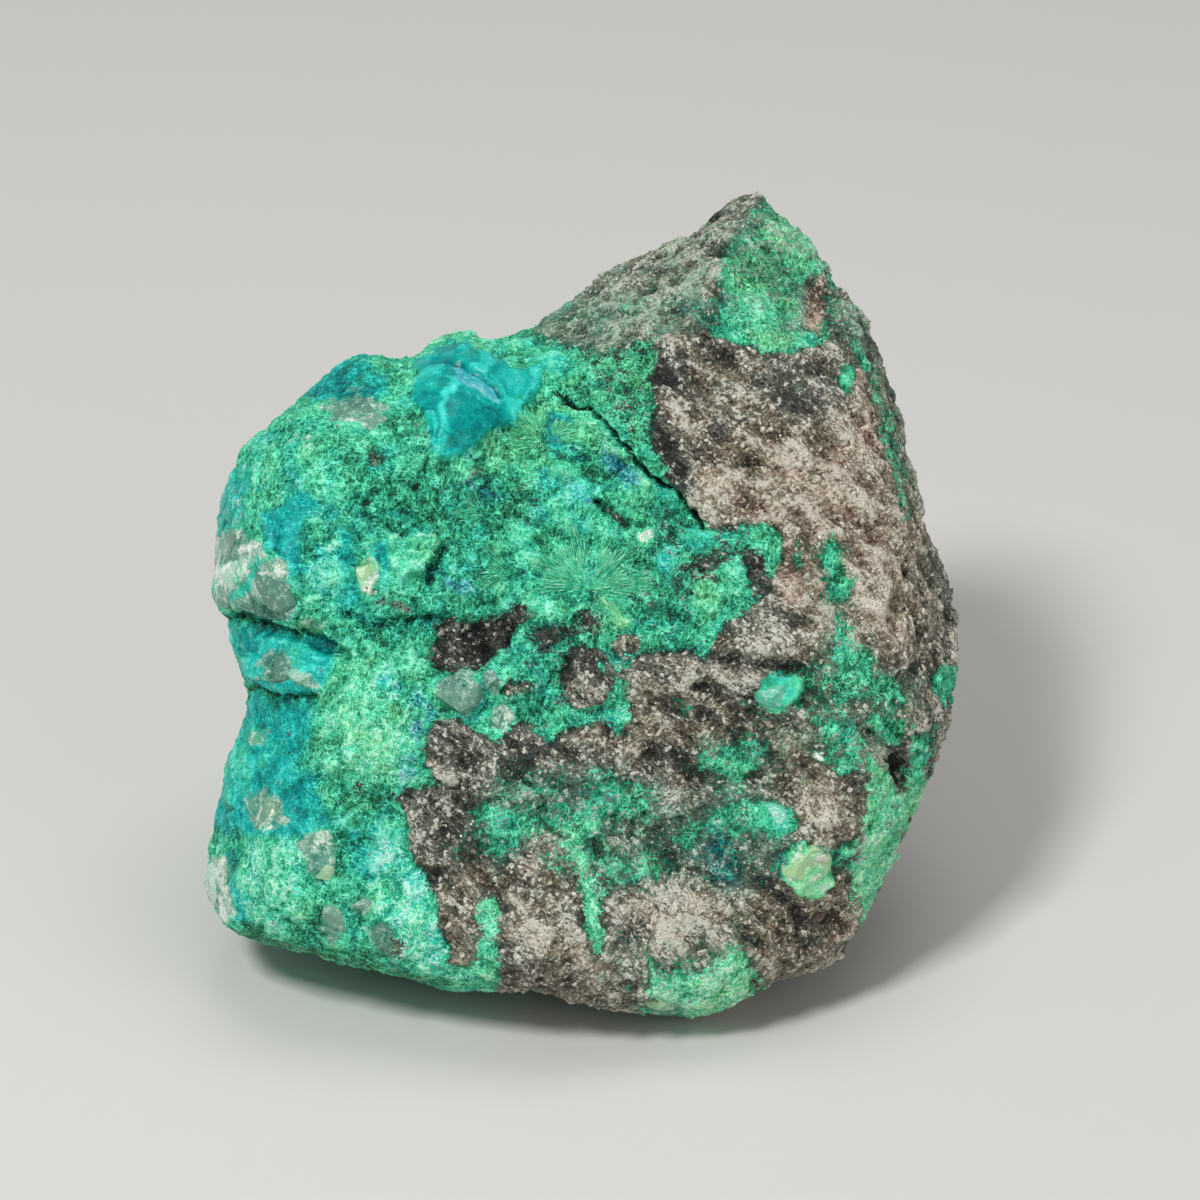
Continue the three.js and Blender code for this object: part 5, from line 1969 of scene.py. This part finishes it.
@dataclass
class Felt:
    """Fine needles felted over the crust, in tufts that share a direction.

    Attributes:
        count: How many needles there are.
        length: Their shortest and longest length, in millimetres.
        width: Their narrowest and widest width, in millimetres.
        tufts: How many tuft middles are strewn round the stone.
        reach_mm: How far from the face's middle they are strewn.
        stray: How far a needle's direction strays from its tuft's.
        rise: How far needles dip into the skin or rise from it, as shares of their length.
        sink_mm: How deep the roots are set.
    """

    count: int = 16000
    length: tuple[float, float] = (0.25, 0.6)
    width: tuple[float, float] = (0.06, 0.12)
    tufts: int = 9000
    reach_mm: float = 40.0
    stray: float = 0.8
    rise: tuple[float, float] = (-0.04, 0.1)
    sink_mm: float = 0.05

    def build(self, sower: Sower, finish: bpy.types.Material) -> bpy.types.Object:
        """Builds the felt as one object.

        Args:
            sower: What picks places on the skin.
            finish: The material of the piece.

        Returns:
            The object.
        """
        chance = sower.chance
        channels = sower.skin.channels
        weight = ramp(-channels["rock"], 0.1, 0.6) * (1.0 - ramp(channels["glass"], 0.1, 0.5))
        weight = weight * (1.0 - ramp(channels["quartz"], 0.2, 0.5)) * sower.above_foot()
        weight = weight * ramp(channels["pale"], -0.9, 0.0)
        weight = weight * (0.1 + ramp(sower.squareness(), 0.1, 0.5)) + NEVER
        sown = sower.sow(weight, self.count)
        middles = chance.uniform(-self.reach_mm, self.reach_mm, (self.tufts, 3)) * MM
        lean = self.spokes(sown, middles + np.array(sower.face.origin()))
        stray = flatten(self.stray * chance.normal(size=lean.shape), sown.normals)
        rise = chance.uniform(*self.rise, self.count)[:, None]
        along = lean + stray + rise * sown.normals
        length = chance.uniform(*self.length, self.count) * MM
        width = chance.uniform(*self.width, self.count) * MM
        frames = turned_frames(along, length, width, chance)
        carried = {name: sown.channels[name] for name in ("teal", "pale")}
        carried["own"] = chance.uniform(0.0, 1.0, self.count)
        stamp = Stamp.of([blade_shape])
        roots = sown.roots - self.sink_mm * MM * sown.normals
        mesh = stamp.press("malachite_felt", roots, frames, np.zeros(self.count, int), carried)
        return dress("malachite_felt", mesh, finish)

    def spokes(self, sown: Sown, middles: np.ndarray) -> np.ndarray:
        """The direction away from the middle of each root's tuft, laid along the skin.

        Args:
            sown: Where the needles stand.
            middles: The middles of the tufts.

        Returns:
            One direction for each needle.
        """
        tree = KDTree(len(middles))
        for i, middle in enumerate(middles):
            tree.insert(middle, i)
        tree.balance()
        nearest = np.array([tree.find(root)[1] for root in sown.roots])
        spoke = flatten(sown.roots - middles[nearest], sown.normals)
        return spoke / (np.linalg.norm(spoke, axis=1)[:, None] + TINY)


@dataclass
class RockGrains:
    """Crystal grains half buried in the host rock.

    Attributes:
        count: How many grains there are.
        size: The smallest and largest grain, in millimetres.
        shapes: How many different grain shapes there are.
        sink: How deep a grain is set, as a share of its size.
    """

    count: int = 9000
    size: tuple[float, float] = (0.08, 0.18)
    shapes: int = 6
    sink: float = 0.2

    def build(self, sower: Sower, finish: bpy.types.Material) -> bpy.types.Object:
        """Builds the grains as one object.

        Args:
            sower: What picks places on the skin.
            finish: The material of the piece.

        Returns:
            The object.
        """
        chance = sower.chance
        channels = sower.skin.channels
        weight = ramp(channels["rock"], 0.2, 0.7) * sower.above_foot() + NEVER
        sown = sower.sow(weight, self.count)
        size = chance.uniform(0.0, 1.0, self.count) ** 2.0
        size = (self.size[0] + size * (self.size[1] - self.size[0])) * MM
        frames = turned_frames(chance.normal(size=sown.roots.shape),
                               size * chance.uniform(0.8, 1.5, self.count), size, chance)
        carried = {name: sown.channels[name] for name in ("warm", "light")}
        carried["own"] = chance.uniform(0.0, 1.0, self.count) ** 4.0
        stamp = Stamp.of([partial(grain_shape, seed) for seed in range(self.shapes)])
        kinds = chance.integers(0, self.shapes, self.count)
        roots = sown.roots - self.sink * size[:, None] * sown.normals
        mesh = stamp.press("rock_grains", roots, frames, kinds, carried)
        return dress("rock_grains", mesh, finish)


@dataclass(frozen=True)
class Spray:
    """One radiating spray of needles on the display face.

    The fan is the turn of its middle and its half width, in degrees.
    """

    name: str
    middle: tuple[float, float]
    radius: float
    count: int
    fan: tuple[float, float]
    teal: float
    pale: float


SPRAYS: tuple[Spray, ...] = (
    Spray("main_right", (1.2, 0.8), 5.0, 2600, (35, 42), 0.0, 0.25),
    Spray("main_left", (1.0, 1.2), 5.2, 2600, (140, 52), 0.05, 0.15),
    Spray("main_low", (1.4, 1.0), 3.4, 300, (-40, 50), 0.0, -0.1),
    Spray("upper_left", (-2.6, 14.2), 3.8, 900, (150, 60), -0.4, 0.05),
    Spray("upper_right", (-2.2, 14.4), 2.6, 400, (40, 50), -0.4, 0.05),
    Spray("rosette", (-2.2, 10.3), 1.8, 200, (80, 110), 0.1, 0.25),
    Spray("bundle", (1.8, 0.6), 3.6, 150, (-45, 14), -0.9, 0.3),
    Spray("left_small", (-8.0, 7.4), 3.0, 300, (160, 60), 0.0, 0.0),
    Spray("left_low", (-5.6, 2.4), 3.4, 400, (170, 45), 0.0, 0.0),
)


@dataclass
class Sprays:
    """The larger sprays of malachite needles.

    Attributes:
        kinds: The sprays.
        width: The needles' narrowest and widest width, in millimetres.
        length: Their shortest and longest length, in millimetres.
        heart_mm: How deep under the skin a spray's heart lies.
        full_mm: How far from the heart needles reach their full length.
        sink_mm: How deep the roots are set.
        rise: How steeply the needles rise from the skin.
        stray: How far a needle's direction strays.
        mottle: How far a needle's own tone strays from its spray's.
    """

    kinds: tuple[Spray, ...] = SPRAYS
    width: tuple[float, float] = (0.06, 0.12)
    length: tuple[float, float] = (0.6, 1.5)
    heart_mm: float = 0.6
    full_mm: float = 2.0
    sink_mm: float = 0.04
    rise: float = 0.08
    stray: float = 0.13
    mottle: float = 0.25

    def build(self, sower: Sower, finish: bpy.types.Material) -> bpy.types.Object:
        """Builds all sprays as one object.

        Args:
            sower: What picks places on the skin.
            finish: The material of the piece.

        Returns:
            The object.
        """
        chance = sower.chance
        roots, frames, carried = [], [], {"teal": [], "pale": [], "own": []}
        seen = sower.face.seen(sower.face.to_face(sower.skin.places))
        toward = np.array(sower.face.axes())[:, 2]
        front = sower.squareness() > 0.25
        for spray in self.kinds:
            offset = seen - np.array(spray.middle)
            gap = np.linalg.norm(offset, axis=1)
            turn = np.degrees(np.arctan2(offset[:, 1], offset[:, 0])) - spray.fan[0]
            turn = np.abs((turn + 180.0) % 360.0 - 180.0)
            ragged = spray.radius * (0.8 + 0.5 * lumps(offset, 1.3, spray.count))
            weight = front * (1.0 - ramp(gap, 0.75 * ragged, ragged)) * ramp(gap, 0.0, 0.8)
            weight = weight * (1.0 - ramp(turn, 0.8 * spray.fan[1], spray.fan[1])) + NEVER
            sown = sower.sow(weight, spray.count)
            nearest = np.argmin(gap + HIDDEN * ~front)
            spoke = sown.roots - (sower.skin.places[nearest] - self.heart_mm * MM * toward)
            growth = np.clip(np.linalg.norm(spoke, axis=1) / MM / self.full_mm, 0.4, 1.0)
            spoke = flatten(spoke, sown.normals)
            spoke /= np.linalg.norm(spoke, axis=1)[:, None] + TINY
            stray = self.stray * chance.normal(size=spoke.shape)
            along = spoke + self.rise * sown.normals + stray
            length = chance.uniform(*self.length, spray.count) * MM * growth
            width = chance.uniform(*self.width, spray.count) * MM
            back = 0.3 * length[:, None] * spoke
            roots.append(sown.roots - back - self.sink_mm * MM * sown.normals)
            frames.append(turned_frames(along, length, width, chance))
            for name, tone in (("teal", spray.teal), ("pale", spray.pale)):
                carried[name].append(tone + self.mottle * chance.normal(size=spray.count))
            carried["own"].append(chance.uniform(0.0, 1.0, spray.count))
        total = sum(spray.count for spray in self.kinds)
        stamp = Stamp.of([blade_shape])
        joined = {name: np.concatenate(values) for name, values in carried.items()}
        mesh = stamp.press("malachite_sprays", np.concatenate(roots), np.concatenate(frames),
                           np.zeros(total, int), joined)
        return dress("malachite_sprays", mesh, finish)


@dataclass(frozen=True)
class Crystal:
    """One grain of quartz or chalcedony set in the display face.

    Its tint runs from clear grey-green at 0 through yellow-green at 0.35 and turquoise at 0.65
    to milky white at 1.
    """

    name: str
    middle: tuple[float, float]
    half: tuple[float, float]
    turn_deg: float
    tint: float
    height: float = 0.45


CRYSTALS: tuple[Crystal, ...] = (
    Crystal("yellow", (20.6, -24.4), (2.3, 1.9), 30, 0.36, 0.4),
    Crystal("cream", (22.0, -23.2), (0.9, 0.6), -20, 1.0, 0.7),
    Crystal("glint", (22.0, -13.9), (0.6, 0.35), -20, 0.95, 0.5),
    Crystal("clear_lobe", (18.3, -8.2), (2.0, 1.4), 8, 0.62, 0.4),
    Crystal("spur_lobe", (17.9, -19.5), (1.8, 1.1), -10, 0.7, 0.45),
    Crystal("beige", (-18.7, 2.1), (1.2, 1.7), 5, 0.33, 0.45),
    Crystal("middle", (-10.9, -8.1), (2.2, 2.0), 20, 0.08, 0.35),
    Crystal("small_dark", (-7.5, -7.4), (0.8, 1.0), 0, 0.0, 0.35),
    Crystal("upright", (-6.8, -10.7), (0.9, 1.3), 10, 0.12, 0.45),
    Crystal("knob_back", (-31.0, 5.3), (2.0, 1.3), 10, 0.08, 0.35),
    Crystal("knob_crest", (-31.0, 2.0), (1.5, 1.5), 20, 0.9, 0.4),
    Crystal("knob_face", (-27.3, 1.0), (2.4, 2.1), -10, 0.08, 0.4),
    Crystal("knob_low", (-30.9, -0.1), (1.2, 0.8), 10, 0.5, 0.4),
    Crystal("lower_chip", (-24.4, -7.0), (1.3, 0.7), -10, 0.8, 0.45),
    Crystal("lower_grain", (-27.2, -6.2), (1.7, 1.2), -20, 0.05, 0.35),
    Crystal("side", (-23.9, -2.1), (1.0, 0.6), 15, 0.25, 0.4),
    Crystal("dome_one", (-21.4, 16.8), (1.6, 1.3), 10, 0.1, 0.16),
    Crystal("dome_two", (-19.4, 17.3), (1.7, 1.3), -20, 0.02, 0.16),
    Crystal("dome_three", (-18.1, 16.3), (1.2, 1.1), 30, 0.12, 0.16),
    Crystal("tooth", (-32.8, -25.8), (1.2, 1.9), 12, 0.9, 0.4),
    Crystal("low_one", (-23.6, -22.4), (1.7, 2.1), 12, 0.12, 0.35),
    Crystal("low_two", (-22.6, -24.6), (0.9, 0.9), 40, 0.3, 0.35),
    Crystal("flank", (-27.8, -19.2), (2.2, 1.4), 20, 0.2, 0.25),
    Crystal("bead", (-28.6, -12.4), (1.0, 0.6), 0, 0.6, 0.35),
    Crystal("foot_left", (-22.0, -29.2), (1.1, 1.5), 20, 0.2, 0.35),
    Crystal("foot_mid", (-17.6, -30.4), (0.9, 1.5), 20, 0.05, 0.35),
    Crystal("pip", (-19.2, -27.3), (0.8, 0.7), 20, 0.1, 0.35),
    Crystal("white_chip", (6.2, 5.9), (0.5, 0.4), 30, 0.95, 0.4),
    Crystal("foot_bead", (8.0, -36.4), (1.5, 0.8), 0, 0.3, 0.4),
)


def crystal_shape(seed: int) -> bmesh.types.BMesh:
    """A broken crystal grain about one unit in half width, cut by flat faces.

    Args:
        seed: Settles the shape.

    Returns:
        The shape.
    """
    chance = np.random.default_rng(seed)
    work = bmesh.new()
    bmesh.ops.create_icosphere(work, subdivisions=3, radius=1.15)
    for _ in range(9):
        cut = Vector(chance.normal(size=3) * (1.0, 1.0, 0.6)).normalized()
        place = cut * chance.uniform(0.55, 0.9)
        shape = work.verts[:] + work.edges[:] + work.faces[:]
        made = bmesh.ops.bisect_plane(work, geom=shape, dist=1e-5, plane_co=place,
                                      plane_no=cut, clear_outer=True)["geom_cut"]
        rim = [part for part in made if isinstance(part, bmesh.types.BMEdge)]
        bmesh.ops.edgenet_fill(work, edges=rim)
    bmesh.ops.dissolve_limit(work, angle_limit=math.radians(6.0), verts=work.verts,
                             edges=work.edges)
    return work


@dataclass
class Crystals:
    """The quartz and chalcedony grains of the display face.

    Attributes:
        kinds: The grains.
        shapes: How many different broken shapes there are.
        sink: How deep a grain is set, as a share of its height.
    """

    kinds: tuple[Crystal, ...] = CRYSTALS
    shapes: int = 5
    sink: float = 0.62

    def build(self, sower: Sower, finish: bpy.types.Material) -> bpy.types.Object:
        """Builds all the grains as one object.

        Args:
            sower: What picks places on the skin.
            finish: The material of the piece.

        Returns:
            The object.
        """
        face = sower.face
        axes = np.array(face.axes())
        seen = face.seen(face.to_face(sower.skin.places))
        hidden = HIDDEN * (sower.squareness() < 0.0)
        roots, frames, tints = [], [], []
        for kind in self.kinds:
            nearest = np.argmin(np.linalg.norm(seen - np.array(kind.middle), axis=1) + hidden)
            normal = sower.skin.normals[nearest]
            turn = math.radians(kind.turn_deg)
            side = axes @ np.array((math.cos(turn), math.sin(turn), 0.0))
            side -= normal * (side @ normal)
            side /= np.linalg.norm(side)
            size = np.array((*kind.half, kind.height * sum(kind.half) * 0.75)) * MM
            frames.append(np.stack([side, np.cross(normal, side), normal], axis=1) * size)
            roots.append(sower.skin.places[nearest] - self.sink * size[2] * normal)
            tints.append(kind.tint)
        stamp = Stamp.of([partial(crystal_shape, seed) for seed in range(self.shapes)])
        order = np.arange(len(self.kinds)) % self.shapes
        mesh = stamp.press("quartz_grains", np.array(roots), np.array(frames), order,
                           {"tint": np.array(tints)})
        return dress("quartz_grains", mesh, finish)


# ---- Studio ---------------------------------------------------------------------------------


@dataclass(frozen=True)
class Lamp:
    """One square light: its place and width in metres, and its power in watts."""

    name: str
    place: tuple[float, float, float]
    width: float
    power: float


LAMPS: tuple[Lamp, ...] = (
    Lamp("key", (-0.32, -0.42, 0.72), 0.18, 5.6),
    Lamp("top", (0.10, 0.16, 0.78), 0.5, 1.8),
    Lamp("fill", (0.62, -0.55, 0.32), 0.6, 1.5),
)


@dataclass
class Studio:
    """The floor, the lights and the camera.

    Attributes:
        face: The display face, which the camera looks at.
        floor_half: Half the floor's width, in metres.
        floor_colour: The floor's colour.
        fleck_colour: The colour of its faint flecks.
        sky: The strength of the plain sky.
        lens_mm: The camera's focal length.
        sensor_mm: The width of its sensor.
        shift: How far its picture is shifted to the right, as a share of its width.
        near: The nearest distance that it sees, in metres.
    """

    face: FaceFrame
    floor_half: float = 1.6
    floor_colour: tuple[int, int, int] = (206, 205, 201)
    fleck_colour: tuple[int, int, int] = (190, 189, 186)
    sky: float = 0.24
    lens_mm: float = 140.0
    sensor_mm: float = 36.0
    shift: float = 0.02
    near: float = 0.01

    def build(self) -> None:
        """Builds the studio."""
        self.lay_floor()
        self.hang_lights()
        self.place_camera()

    def lay_floor(self) -> None:
        """Lays the floor under the stone."""
        graph = Graph("floor_paper")
        grain = graph.noise(graph.millimetres(), 6.0, 3.0)
        colour = graph.mix(grain * 0.06, linear(self.floor_colour), linear(self.fleck_colour))
        finish = graph.close(graph.shader({"Base Color": colour, "Roughness": 0.9}))
        mesh = bpy.data.meshes.new("floor")
        work = bmesh.new()
        bmesh.ops.create_grid(work, x_segments=2, y_segments=2, size=self.floor_half)
        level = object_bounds()[0][2]
        bmesh.ops.translate(work, verts=work.verts, vec=(0.0, 0.0, level))
        work.to_mesh(mesh)
        work.free()
        mesh.materials.append(finish)
        floor = bpy.data.objects.new("floor", mesh)
        bpy.context.scene.collection.objects.link(floor)
        floor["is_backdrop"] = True

    def hang_lights(self) -> None:
        """Hangs a soft key above and to the left, a fill to the right and a plain sky."""
        for lamp in LAMPS:
            self.hang(lamp)
        world = bpy.data.worlds.new("studio")
        world.use_nodes = True
        backdrop = world.node_tree.nodes["Background"]
        backdrop.inputs["Color"].default_value = (1.0, 1.0, 1.0, 1.0)
        backdrop.inputs["Strength"].default_value = self.sky
        bpy.context.scene.world = world

    def hang(self, lamp: Lamp) -> None:
        """Hangs one light that faces the stone.

        Args:
            lamp: The light.
        """
        data = bpy.data.lights.new(lamp.name, "AREA")
        data.size = lamp.width
        data.energy = lamp.power
        hung = bpy.data.objects.new(lamp.name, data)
        hung.location = lamp.place
        turn = (self.face.origin() - Vector(lamp.place)).to_track_quat("-Z", "Y")
        hung.rotation_euler = turn.to_euler()
        bpy.context.scene.collection.objects.link(hung)

    def place_camera(self) -> None:
        """Places the camera squarely in front of the display face."""
        data = bpy.data.cameras.new("camera")
        data.sensor_width = self.sensor_mm
        data.lens = self.lens_mm
        data.shift_x = self.shift
        data.clip_start = self.near
        camera = bpy.data.objects.new("camera", data)
        axes = self.face.axes()
        camera.location = self.face.origin() + axes.col[2] * self.face.viewing_mm * MM
        camera.rotation_euler = axes.to_euler()
        bpy.context.scene.collection.objects.link(camera)
        bpy.context.scene.camera = camera
        bpy.context.scene.view_settings.view_transform = "Standard"


# ---- The specimen ---------------------------------------------------------------------------


def main() -> None:
    """Builds the specimen and its studio."""
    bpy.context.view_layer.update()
    face = FaceFrame()
    skin = Skin(face)
    skin.build(StoneFinish().build())
    sower = Sower(skin, face, np.random.default_rng(SEED))
    needles = NeedleFinish().build()
    Felt().build(sower, needles)
    Sprays().build(sower, needles)
    RockGrains().build(sower, GrainFinish().build())
    Crystals().build(sower, QuartzFinish().build())
    Studio(face).build()


if __name__ == "__main__":
    logging.basicConfig(level=logging.INFO)
    main()
